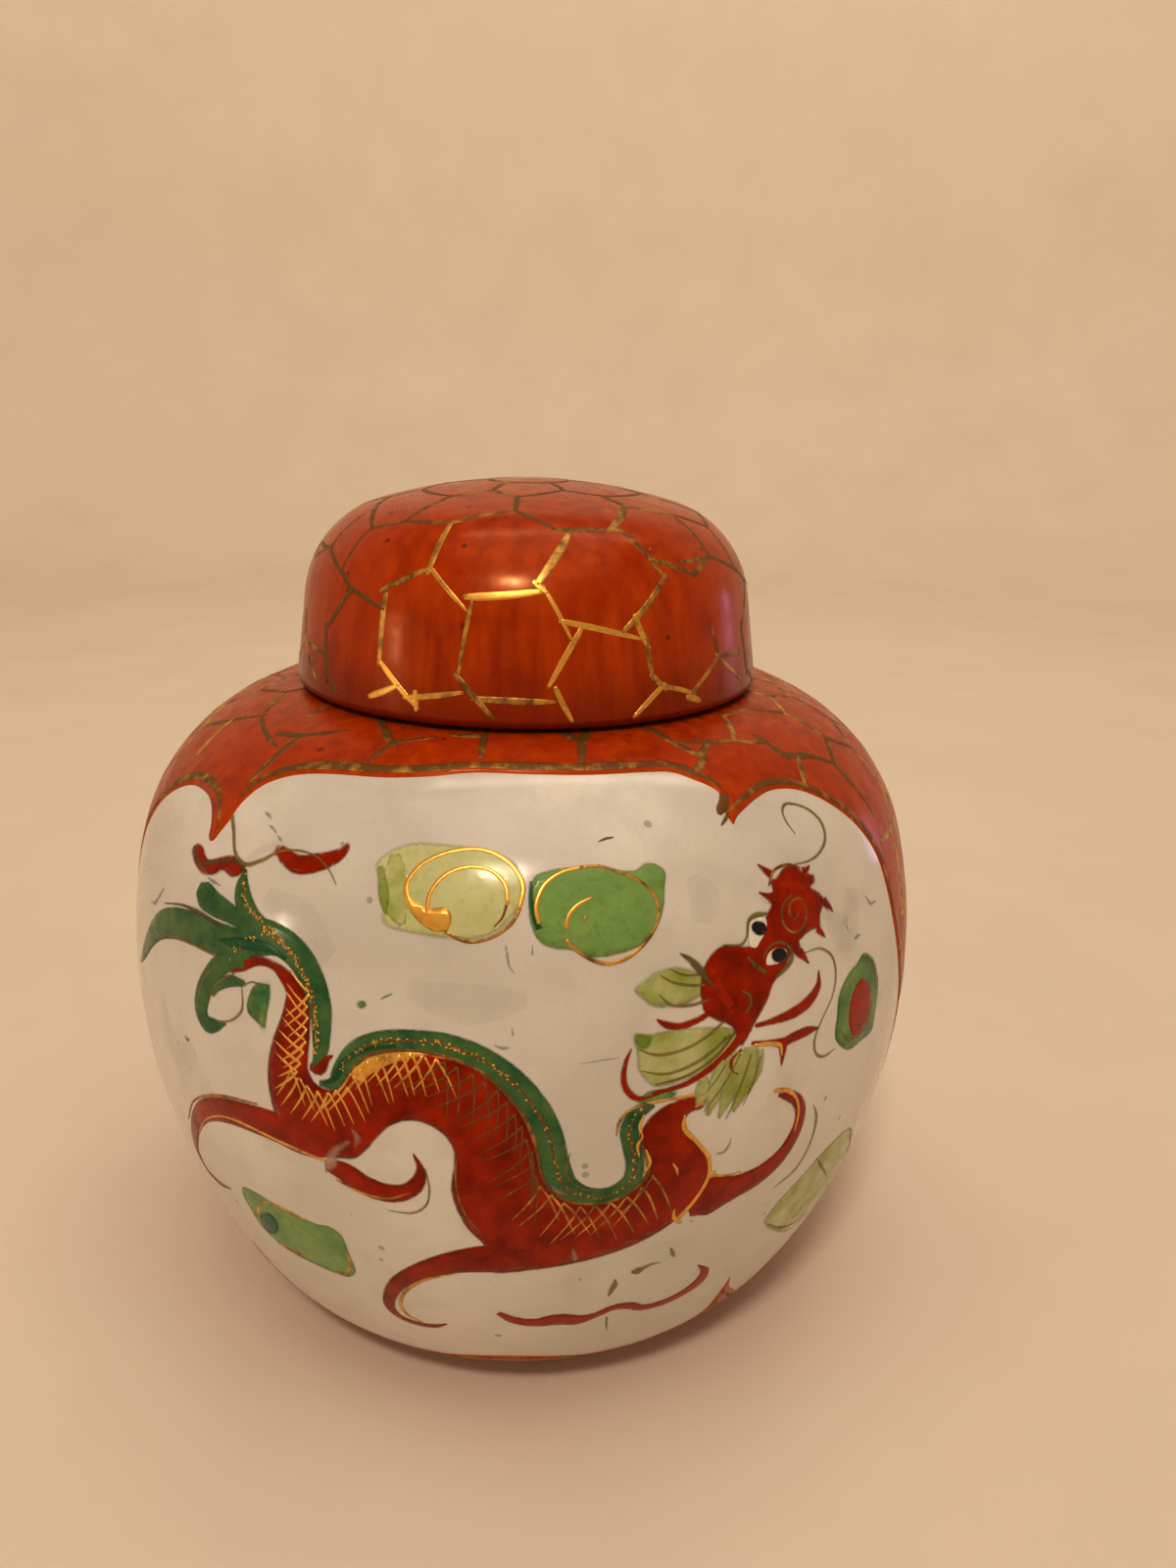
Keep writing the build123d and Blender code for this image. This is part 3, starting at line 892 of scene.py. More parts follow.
def straight_brush(drawing, x0, y0, x1, y1, half_width, tone, height=0.06):
    """A quick straight stroke: it swells after the start, bows a little and leaves a thin end."""
    bow = 0.12 * sin(7.0 * x0 + 3.0 * y1)
    nx, ny = y0 - y1, x1 - x0
    size = hypot(nx, ny)
    points = []
    for share, width in ((0, 0.62), (0.12, 0.95), (0.45, 1.08), (0.8, 0.9), (1, 0.5)):
        off = bow * sin(pi * share)
        x, y = x0 + (x1 - x0) * share + nx / size * off, y0 + (y1 - y0) * share + ny / size * off
        points.append((x, y, half_width * width))
    drawing.stroke(points, height, tone + 0.12 * sin(5 * x0 + y0), step=0.7)


def paint_ground_gold():
    gold = Drawing(jar_stretch)
    for line in shoulder_lines + side_lines:
        straight_brush(gold, *line)
    gold.stroke(brushed(outside_of(panel_top[1:-2], 1.25), 0.6), 0.06, 0.74)
    gold.stroke(brushed(outside_of(panel_right[1:-1], 1.0), 0.42), 0.06, 0.74)
    gold.stroke(brushed(outside_of(panel_bottom[1:-1], 1.2), 0.5), 0.06, 0.7)
    gold.stroke(brushed(outside_of(panel_left[1:-2], 1.3), 0.5), 0.06, 0.72)
    gold.stroke([(27.2, 84.9, 0.5), (26.6, 83.9, 0.65), (25.3, 83.0, 0.5), (24.9, 82.6, 0.2)], 0.06, 0.85)
    return gold


# ---- the dragon
dragon_back = [
    (-24.6, 65.2), (-23.4, 64.6), (-22.7, 63), (-22.5, 60), (-22.7, 57.8), (-22.7, 56.2), (-22, 55),
    (-20.5, 54.6), (-19, 55.3), (-18, 57), (-16.4, 58.8), (-14, 59.9), (-11, 60.3), (-8, 60), (-5, 58.9),
    (-2.3, 56.6), (-0.3, 53.8), (0.9, 50.5), (1.4, 47.5), (2.3, 45.2), (4, 43.5), (6.5, 42.7), (9, 42.8),
    (11.3, 44), (12.6, 45.8), (12.2, 48), (11.5, 50), (11.8, 51.8), (13.2, 53.3), (15.5, 54.1), (17.5, 54.1),
    (18.7, 53.6), (18.9, 52.9),
]  # fmt: skip
dragon_chest = [
    (18.9, 52.8), (18.1, 52.3), (17, 52.2), (16.3, 51.3), (16.5, 50), (17.8, 48.6), (19, 47.2), (19.8, 45.5),
    (19.9, 43.8),
]  # fmt: skip
dragon_belly = [
    (19.9, 43.6), (19.3, 41.8), (18.2, 39.8), (16.6, 38.2), (14, 36.5), (10.5, 35.1), (6, 34), (1, 33.2),
    (-4, 32.8), (-5.5, 34.6), (-4.6, 36.9), (-6.2, 39.3), (-7.3, 42), (-7.8, 45), (-7.4, 48), (-7.5, 50),
    (-8.6, 51.6), (-10.5, 52.5), (-12.3, 52.4), (-14, 51.4), (-15.4, 49.7), (-16.5, 48.2), (-18, 46.8),
    (-20.5, 46.3), (-24, 46.2), (-26.4, 47.6), (-27.6, 49.6), (-28.1, 52), (-28.2, 54.5), (-27.8, 57),
    (-27, 59.5), (-26.2, 61.5), (-25.8, 63.5), (-25.4, 64.8),
]  # fmt: skip
head_sections = [
    [(18.1, 63.2), (17.9, 65.5), (18.4, 67.5), (19.7, 69), (21.3, 69.5), (23, 69.1), (24.4, 68.8), (25.4, 70),
     (27.2, 71.6), (27.9, 72.3)],
    [(27.9, 72.3), (27.0, 72.6), (26.4, 73.5)],
    [(26.4, 73.5), (27.5, 73.0), (28.5, 73.6)],
    [(28.5, 73.6), (28.4, 74.6), (27.8, 75.8)],
    [(27.8, 75.8), (28.7, 75.1), (29.4, 74.8), (31, 75.6), (32.8, 75.5), (33.8, 74.7)],
    [(33.8, 74.7), (34.8, 74.2), (35.7, 73.8)],
    [(35.7, 73.8), (35.5, 73.0), (34.6, 72.7)],
    [(34.6, 72.7), (36, 71.6), (37, 70)],
    [(37, 70), (36.7, 69.2), (35.9, 70.1), (35.2, 69.3)],
    [(35.2, 69.3), (35.1, 68.3), (35.4, 67.3)],
    [(35.4, 67.3), (34.2, 68.1), (32.8, 68.1), (31.4, 67.6)],
    [(31.4, 67.6), (31.6, 66.4), (32.1, 65.2)],
    [(32.1, 65.2), (31, 65.8), (30, 66.6)],
    [
        (30, 66.6), (28.6, 65), (27.2, 64.1), (26.2, 62.4), (24.6, 60.5), (23.2, 58.6), (22, 57.3),
        (22.2, 59), (21.4, 60.8), (20, 61.6), (18.8, 62.3),
    ],
]  # fmt: skip


def paint_red():
    red = Drawing(jar_stretch)
    red.shape([closed_line(dragon_back, dragon_chest, dragon_belly)], 0.045, 0.5)
    for limb in (
        [(-20, 47.6, 1.2), (-24, 47.6, 2.2), (-28, 47.9, 2.1), (-32, 47.6, 1.9), (-36, 46.8, 1.7),
         (-40, 44.9, 1.45), (-43, 42, 1.2), (-45.4, 38.5, 0.9), (-46.8, 35.3, 0.65), (-46, 33, 0.5),
         (-43, 32.6, 0.5), (-39.5, 33.6, 0.12)],
        [(-21.6, 45, 0.7), (-19.5, 44.8, 1.5), (-17, 43.6, 1.5), (-14.5, 43.2, 1.35), (-12.5, 43.8, 1.1),
         (-11.2, 45.2, 0.9), (-10.8, 47, 0.55), (-11.5, 48.8, 0.1)],
        [(0, 35.2, 1.9), (-4, 35, 2.3), (-8, 34, 1.85), (-12, 31.8, 1.4), (-15.2, 28.8, 1.1),
         (-17, 25.5, 0.9), (-17.6, 22.8, 0.75), (-16.7, 20.9, 0.65), (-14.5, 20, 0.6), (-12, 20.2, 0.55),
         (-10.3, 21.2, 0.2)],
        [(17.8, 39.6, 1.6), (20, 40.3, 2.9), (23.6, 40.5, 1.95), (27, 41, 1.6), (29.8, 42.4, 1.35),
         (31.6, 44.9, 1.1), (32, 47.3, 0.95), (31, 49.4, 0.85), (29.4, 50.6, 0.7), (28.1, 51.1, 0.25)],
        [(-33.6, 64, 0.25), (-32, 65, 0.65), (-30, 66.1, 0.65), (-27.8, 66.2, 0.55), (-26, 65.4, 0.9),
         (-24.6, 63.9, 1.2), (-24.3, 62, 1.7), (-24.6, 60, 1.9)],
        [(-22.6, 56.6, 0.5), (-21.6, 56.6, 0.9), (-20.8, 57.7, 0.6), (-19.9, 58.4, 0.12)],
    ):  # fmt: skip
        red.stroke(limb, 0.045, 0.5)
    for lick in (
        [(24.5, 60.2, 0.3), (27, 60.1, 0.5), (30, 60.2, 0.75), (32.3, 60.8, 0.8), (33.8, 62, 0.6),
         (34, 63.7, 0.1)],
        [(24, 58.4, 0.25), (26.5, 57.8, 0.4), (28.3, 57.3, 0.65), (30, 57.4, 0.7), (32, 57.4, 0.65),
         (33.8, 57.2, 0.15)],
        [(28.3, 57.6, 0.9), (28.3, 56, 0.55), (28.2, 54.6, 0.1)],
        [(10.4, 60.4, 0.1), (9.8, 59, 0.3), (9.6, 57.3, 0.4), (10.1, 55.8, 0.45), (11.2, 54.9, 0.4),
         (12.8, 55, 0.3), (14.5, 55.5, 0.12)],
        [(13.1, 63.1, 0.1), (13.9, 62.5, 0.45), (15.5, 62, 0.45), (17.5, 62.3, 0.45), (19.5, 63, 0.4)],
        [(12.6, 55.2, 0.3), (17, 55.9, 0.45), (21, 58.1, 0.6), (23.6, 60.4, 0.8)],
        [(22.8, 58, 0.25), (21.6, 57.2, 0.3), (21.6, 56, 0.35), (22.4, 55.3, 0.1)],
        [(-3.4, 24.9, 0.45), (-1.5, 23.3, 0.85), (1, 22.6, 1.0), (4, 23, 1.4), (6.5, 22.5, 1.2),
         (8.5, 23, 0.7), (11, 24.2, 0.7), (13, 23.9, 0.8), (15, 22.7, 0.7), (18, 22.5, 0.8),
         (20.5, 23.3, 0.85), (22.5, 24.8, 1.0), (22.8, 26.8, 0.7), (21.3, 28.8, 0.1)],
    ):  # fmt: skip
        red.stroke(lick, 0.05, 0.2)
    for spike in (
        [(28.8, 72.9, 0.6), (27.7, 73.2, 0.45), (26.6, 73.8, 0.12)],
        [(29, 75.2, 0.6), (28.3, 75.8, 0.45), (27.5, 76.6, 0.12)],
        [(33.9, 74.5, 0.6), (34.7, 74.6, 0.4), (35.3, 74.9, 0.12)],
        [(36.2, 70.8, 0.6), (37, 70, 0.4), (37.5, 69.2, 0.12)],
        [(34.4, 68.2, 0.55), (35.1, 67.5, 0.4), (35.6, 66.9, 0.12)],
        [(31.2, 66.6, 0.6), (31.9, 65.7, 0.45), (32.5, 64.9, 0.12)],
    ):  # fmt: skip
        red.stroke(spike, 0.05, 0.4)
    for glow in (
        [(19.6, 67, 0.5), (20.2, 65, 0.9), (21.6, 63, 0.6)], [(29.6, 74, 0.4), (31.5, 73.6, 0.7),
                                                              (33.4, 72.8, 0.4)],
    ):  # fmt: skip
        red.stroke(glow, 0.058, 0.0)
    red.shape([closed_line(*head_sections)], 0.05, 0.42, grid=0.6)
    red.shape([blob(
        (-45.2, 74.4), (-44.2, 75.2), (-42.8, 75.2), (-41, 74.3), (-39, 75), (-37, 75.7), (-35, 75.6),
        (-34, 75), (-34.6, 73.9), (-36, 73.4), (-37.5, 73.7), (-39, 72.9), (-41, 72.4), (-43, 72.9),
        (-44.5, 73.7),
    )], 0.05, 0.4)  # fmt: skip
    red.shape([closed_line(
        [(-35.2, 75.2), (-33.5, 77), (-32, 78), (-30, 78.3), (-27, 77.8), (-25, 78.3), (-22.8, 79),
         (-21.2, 80.2)],
        [(-21.2, 80.2), (-20.8, 79.2), (-21.5, 77.8), (-23.5, 76.5), (-25.5, 75.8), (-27.5, 75.7),
         (-29.2, 76.3), (-31, 77.2), (-33, 76.6), (-34.4, 75)],
    )], 0.05, 0.3)  # fmt: skip
    red.shape([oval(42.2, 56.4, 2.9, 3.7, steps=44)], 0.062, 0.1)
    red.shape([oval(21.4, 62.4, 1.2, 0.9, 0.3)], 0.06, 0.0, grid=0.5)
    return red


fin_middle = [
    (-34, 74.2), (-32.6, 71.6), (-30, 70.2), (-28, 69.3), (-26, 68.2), (-24.3, 66.8), (-22.9, 65),
    (-22.2, 62.5), (-21.9, 60), (-21.9, 58),
]  # fmt: skip
fin_lower = [(-34, 65.2), (-33, 66.8), (-31, 68.3), (-29, 69.2), (-27, 69.5)]
hump_fin = [
    (-21.5, 55, 0.4), (-19.9, 55.3, 0.8), (-18.9, 57.1, 1.05), (-17.2, 59.3, 1.3), (-14.5, 60.8, 1.25),
    (-11, 61.3, 1.25), (-7.5, 61.1, 1.3), (-4.4, 59.9, 1.4), (-1.6, 57.8, 1.5), (0.7, 54.9, 1.55),
    (2.2, 51.6, 1.5), (2.9, 48, 1.55), (4.0, 45.2, 1.5), (6.3, 43.7, 1.3), (8.8, 43.6, 1.25),
    (10.8, 45.1, 1.2), (11.1, 47.2, 1.1), (10.6, 49.6, 1.05), (10.4, 51.6, 1.15), (11.2, 53.3, 1.0),
    (12.8, 54.1, 0.5),
]  # fmt: skip


def paint_green():
    green = Drawing(jar_stretch)
    green.stroke(hump_fin, 0.06, 0.8)
    for frond in (
        [(-22.2, 56.6, 0.3), (-21.4, 58.5, 0.95), (-21.3, 60.5, 1.2), (-21.5, 63, 1.45), (-22.5, 65.5, 1.6),
         (-24.3, 67.6, 1.7), (-27, 68.8, 1.75), (-30, 68.6, 2.1), (-33, 67.6, 2.2)],
        [(-31, 67.2, 1.7), (-34, 66.9, 1.9), (-38, 66.7, 1.9), (-42, 66.4, 1.9), (-46, 65.5, 1.85),
         (-49.5, 63.9, 1.7), (-52.5, 61.3, 1.3), (-55, 58.6, 0.9), (-57.3, 56.4, 0.2)],
        [(-30.5, 69.2, 1.0), (-32, 69.5, 1.0), (-35, 69.9, 1.2), (-38, 70.2, 1.5), (-40, 70.6, 1.6),
         (-41.2, 71, 0.8)],
        [(-34, 74.8, 0.25), (-33.8, 73, 1.1), (-33, 71.5, 1.4), (-31.3, 70.1, 1.4), (-29.5, 69.5, 1.2)],
        [(-31.8, 65.6, 1.0), (-35, 64.5, 1.3), (-37, 62.5, 1.3), (-38.3, 60, 1.4), (-38.6, 58, 1.3),
         (-37.6, 56.9, 1.2), (-35.8, 57.3, 0.8), (-34.2, 58, 0.15)],
        [(-36.6, 60.5, 0.4), (-35.5, 62, 0.75), (-33.5, 63, 0.75), (-31.4, 63.3, 0.4)],
    ):  # fmt: skip
        green.stroke(frond, 0.055, 0.8)
    green.shape([closed_line(
        [(-27.9, 64.6), (-27.7, 63), (-28, 61), (-28.3, 58.5)],
        [(-28.3, 58.5), (-29.5, 59.5), (-31, 60.4), (-30.9, 62), (-30, 63.7), (-29, 64.2)],
    )], 0.055, 0.5)  # fmt: skip
    green.shape([blob((10.9, 54.6), (12, 55.6), (14, 55.6), (15.6, 55), (14.5, 54.2), (12, 54.1))], 0.055,
                0.4, grid=0.5)
    green.shape([blob(
        (37, 57), (37.5, 59.8), (39.5, 61.6), (41.5, 62.2), (43, 62.8), (45.3, 61.5), (46.5, 59.5), (47, 57),
        (46.5, 54.5), (45.9, 52.1), (43, 51.9), (40, 52), (38, 53.3), (36.8, 55),
    )], 0.05, 0.6)  # fmt: skip
    green.shape([blob(
        (-36.7, 34.5), (-36, 36), (-34, 36.4), (-31, 36.2), (-28, 36), (-24.5, 35.7), (-22.5, 36),
        (-21.2, 35), (-20.8, 32), (-20.7, 29), (-22, 27.3), (-24, 27), (-27, 27.2), (-30, 27.3), (-33, 28),
        (-35.5, 29.8), (-36.2, 32),
    )], 0.05, 0.18)  # fmt: skip
    green.shape([blob((-17.5, 64.3), (-16.8, 64.8), (-16.2, 64.5), (-16.5, 63.9), (-17.2, 63.8))], 0.05, 0.5,
                grid=0.4)
    green.stroke([(-14.8, 65.1, 0.05), (-14.2, 65.5, 0.1), (-13.6, 65.8, 0.05)], 0.05, 0.4)
    return green


def paint_cloud():
    """The darker of the two clouds: thin green that pools to bottle green at its lower left."""
    cloud = Drawing(jar_stretch)
    cloud.shape([blob(
        (0.2, 77), (0.8, 78), (2.5, 78.6), (5, 78.8), (8, 78.8), (10.5, 78.2), (12, 78.1), (13.3, 78.7),
        (14.8, 78.4), (15.6, 77.6), (15.2, 76), (14.7, 74), (13.9, 72.5), (12.5, 71), (10.5, 70.2), (8, 69.8),
        (6, 69.9), (4.5, 70.6), (2.8, 70.8), (1.2, 71.5), (0.3, 73), (0, 75),
    )], 0.05, 0.05)  # fmt: skip
    return cloud


def paint_deep_green():
    pool = Drawing(jar_stretch)
    pool.shape([blob((1.1, 73), (1.6, 72.7), (3, 72.6), (4.6, 72.6), (4.7, 71.9), (3.5, 71.4), (2, 71.4),
                     (1.2, 72))], 0.07, 0.7)
    pool.stroke([(0.35, 77.4, 0.2), (0.4, 75.5, 0.35), (0.7, 74, 0.4), (1.2, 72.8, 0.5)], 0.065, 0.4)
    pool.shape([oval(-33.0, 31.6, 1.5, 2.6, -0.6)], 0.065, 0.3)
    pool.stroke([(-36, 66.8, 0.2), (-34, 67, 0.7), (-31, 67.6, 0.8), (-28.5, 67.8, 0.6), (-26, 67.2, 0.3)],
                0.07, 0.4)
    pool.stroke([(-21, 55.1, 0.2), (-19.6, 56, 0.4), (-18.6, 58, 0.45), (-16.6, 59.6, 0.4),
                 (-13, 60.6, 0.25)], 0.08, 0.4)
    return pool


def paint_pale_green():
    pale = Drawing(jar_stretch)
    for loop, tone in (
        ([(-17.3, 78.2), (-16, 79.7), (-13.5, 80.8), (-10, 81), (-6, 80.8), (-3, 80.2), (-1, 79),
          (-0.4, 77.5), (-0.5, 75.5), (-1.5, 73.8), (-3, 72.5), (-5, 71.7), (-8, 71.5), (-11, 71.7),
          (-14, 72), (-15.3, 72.5), (-15.6, 74.3), (-16, 76)], 0.05),
        ([(10.7, 66.3), (11.7, 67.3), (13.2, 68), (15.5, 68.2), (17.5, 67.5), (18.6, 66.5), (18.5, 65),
          (17, 64.2), (14.5, 64), (12.8, 64.3), (11.5, 65.3)], 0.62),
        ([(10.4, 62), (12, 61.8), (15, 61.9), (18, 61.6), (21, 61), (22.5, 60), (22, 58.2), (19, 56.7),
          (16, 56), (13, 55.8), (12, 56.5), (11, 58), (10.8, 60)], 0.6),
        ([(30.3, 32.3), (32, 34.8), (35, 36.8), (38.5, 38.6), (42, 39.3), (45, 38.8), (48, 36.5),
          (50.5, 32.5), (50.6, 29), (48, 26), (44, 24.3), (40, 24.5), (37, 25.8), (34, 28), (31.5, 30.2)],
         0.5),
    ):  # fmt: skip
        pale.shape([blob(*loop)], 0.045, tone, grid=0.7)
    for stroke in (
        [(18.2, 56, 0.7), (18.2, 54.2, 1.1), (17.6, 52.8, 0.4)],
        [(20.6, 57.4, 1.0), (19.9, 54.6, 1.3), (18.9, 51.4, 0.35)],
        [(22.4, 57.9, 1.1), (21.6, 54.4, 1.4), (20.3, 50.7, 0.3)],
        [(24, 58, 1.1), (23.4, 54.4, 1.4), (22, 51, 0.35)], [(25.2, 57.4, 0.6), (24.9, 55.2, 0.8),
                                                             (23.8, 52.6, 0.2)],
    ):  # fmt: skip
        pale.stroke(stroke, 0.045, 0.68)
    pale.stroke([(-15.2, 79.4, 0.6), (-14.6, 77, 1.7), (-14, 74.4, 1.6), (-13, 72.6, 0.5)], 0.055, 0.55)
    pale.stroke([(-16.6, 78, 0.4), (-15.9, 76.5, 0.7), (-15.3, 74.8, 0.7), (-14.9, 73.4, 0.2)], 0.06, 0.85)
    pale.shape([blob((10.5, 61.9), (12.6, 61.5), (12.4, 60.4), (11.4, 59.9), (10.9, 60.6))], 0.06, 1.0,
               grid=0.5)
    return pale


def paint_gold():
    """Loops on the clouds, and the gold lines along the fin, the belly and the limbs."""
    gold = Drawing(jar_stretch)
    for points, tone in (
        ([(-0.9, 74.6, 0.28), (-0.5, 77, 0.34), (-1.9, 79.1, 0.32), (-5, 80.5, 0.28), (-9, 80.1, 0.28),
          (-12, 78.5, 0.3), (-13.2, 76.4, 0.34), (-12.6, 74.8, 0.45), (-11, 73.3, 0.5)], 0.12),
        ([(-8.5, 72.3, 0.25), (-6, 71.5, 0.25), (-3.6, 72, 0.22), (-1.6, 73.4, 0.25), (-0.8, 74.8, 0.25)],
         0.62),
        ([(-10.6, 74, 0.3), (-10.4, 76, 0.28), (-9, 77.8, 0.3), (-6.5, 78.7, 0.26), (-4, 78.4, 0.26),
          (-2.4, 77, 0.3), (-2.1, 75.2, 0.26)], 0.12),
        ([(-2.2, 75.1, 0.2), (-2.6, 73.9, 0.15), (-3.4, 73, 0.08)], 0.8),
        ([(1.2, 73.3, 0.3), (0.9, 75, 0.32), (1.8, 77, 0.3), (3.6, 78.2, 0.26), (6, 78.7, 0.24)], 0.15),
        ([(6, 78.7, 0.24), (8, 78.7, 0.2), (10, 78, 0.2), (12.5, 76.8, 0.2), (14, 74.7, 0.22),
          (13.7, 72.7, 0.22), (12, 70.7, 0.22), (10, 69.5, 0.26), (8, 69.2, 0.28), (6.3, 69.8, 0.26),
          (4.5, 71.1, 0.26), (3.9, 71.9, 0.3)], 0.55),
        ([(4.0, 72.8, 0.32), (4.3, 74, 0.3), (5.3, 75, 0.28), (7, 75.7, 0.15)], 0.2),
        ([(5.8, 73.5, 0.1), (6.2, 74, 0.15)], 0.3),
        ([(16.3, 52.1, 0.15), (16.3, 50.6, 0.4), (18, 48.3, 0.3), (19.5, 46, 0.35), (19.8, 43.5, 0.32),
          (18.6, 40.7, 0.35), (16.6, 38.2, 0.4)], 0.35),
        ([(16.1, 40, 0.1), (16.3, 38.6, 0.35), (17.2, 37.6, 0.2)], 0.35),
        ([(20, 43.6, 0.3), (22, 42.8, 0.15), (24, 42.6, 0.08)], 0.5),
        ([(20.6, 43.9, 0.15), (19.8, 43.4, 0.4)], 0.25),
        ([(12.2, 48.8, 0.12), (12.7, 47, 0.3), (12.2, 45.9, 0.15)], 0.25),
        ([(15.3, 46.4, 0.08), (15.8, 45.6, 0.22), (16, 44.7, 0.08)], 0.3),
        ([(27.4, 51.9, 0.3), (29.4, 51.2, 0.4), (30.9, 49.7, 0.25), (31.6, 47.6, 0.2), (31.4, 45.2, 0.1)],
         0.35),
        ([(24.4, 58.1, 0.2), (26, 57.8, 0.35), (28, 57, 0.3), (28.1, 55.8, 0.15)], 0.3),
        ([(-8, 32.3, 0.1), (-12, 30.2, 0.25), (-14.8, 27, 0.3), (-15.9, 23.6, 0.3), (-15.2, 21.6, 0.2),
          (-13.6, 20.7, 0.1)], 0.5),
        ([(-20.8, 45.6, 0.2), (-24, 45.9, 0.28), (-28, 46.3, 0.25), (-32, 46.5, 0.25), (-36, 46, 0.2),
          (-40, 43.8, 0.15), (-43, 40.5, 0.12)], 0.45),
        ([(-30, 50, 0.1), (-35, 49, 0.2), (-39, 47.4, 0.2), (-42.5, 45, 0.15), (-45.6, 41, 0.1)], 0.6),
        ([(-20.5, 43.5, 0.1), (-17.5, 42.5, 0.2), (-14.5, 42.5, 0.18), (-12, 43.8, 0.1)], 0.6),
        ([(-35, 31.8, 0.15), (-33.8, 34, 0.3), (-32, 35.6, 0.22), (-29, 36, 0.2), (-26, 35.6, 0.1)], 0.4),
        ([(-33, 28.2, 0.15), (-30, 28, 0.5), (-28, 28.6, 0.2)], 0.6),
        ([(-21.2, 32.5, 0.1), (-21.2, 30, 0.25), (-22.5, 28, 0.25), (-24, 27.6, 0.1)], 0.55),
        ([(-7, 49.2, 0.1), (-7.2, 46, 0.14), (-6.8, 43, 0.14), (-5.8, 40.5, 0.12), (-4.2, 38.6, 0.08)], 0.7),
        ([(31.2, 72.6, 0.12), (29.6, 71.8, 0.22), (29.2, 70.2, 0.22), (30.4, 68.8, 0.2), (32.2, 69, 0.22),
          (33, 70.6, 0.2), (32.2, 72, 0.18), (30.8, 71.8, 0.18), (30.3, 70.6, 0.18), (31.2, 70, 0.15),
          (31.8, 70.8, 0.12)], 0.72),
        ([(28.2, 74.2, 0.12), (29.5, 75.5, 0.2), (32, 75.7, 0.2), (33.6, 75, 0.12)], 0.75),
        ([(12, 54.3, 0.12), (14, 54.3, 0.2), (17, 54.2, 0.2), (18.4, 54, 0.1)], 0.4),
        ([(9, 51, 0.08), (9.2, 52.4, 0.2), (10.1, 53.6, 0.2), (12, 54.2, 0.15)], 0.5),
        ([(11.8, 50.4, 0.12), (11.4, 51.8, 0.25), (11.9, 53, 0.15)], 0.3),
        ([(11.5, 48, 0.1), (11.3, 49.6, 0.28), (11.8, 50.4, 0.1)], 0.3),
        ([(17.4, 52.8, 0.15), (18.2, 53, 0.3), (18.6, 52.9, 0.12)], 0.4),
    ):  # fmt: skip
        gold.stroke([(x, y, gold_share * w) for x, y, w in points], 0.085, tone)
    gold.stroke(brushed(smooth(dragon_back[8:28]), 0.2), 0.08, 0.75)
    gold.stroke(brushed(smooth(fin_middle), 0.14), 0.07, 0.7)
    gold.stroke(brushed(smooth([p[:2] for p in hump_fin[2:]]), 0.13), 0.08, 0.85)
    gold.shape([blob((-12.9, 75.3), (-11.4, 74.7), (-10.3, 74.4), (-8.6, 74.6), (-7.9, 73.8), (-8.2, 72.5),
                     (-9.8, 72.3), (-11, 72.9), (-12.3, 73.9))], 0.08, 0.25, grid=0.5)  # fmt: skip
    gold.shape([closed_line([(-18.1, 57), (-16, 59), (-13, 60), (-9, 60.2)],
                            [(-9, 60.2), (-12, 59.3), (-14.8, 57.9), (-17.3, 55.6)])],
               0.075, 0.35, grid=0.5)  # fmt: skip
    return gold


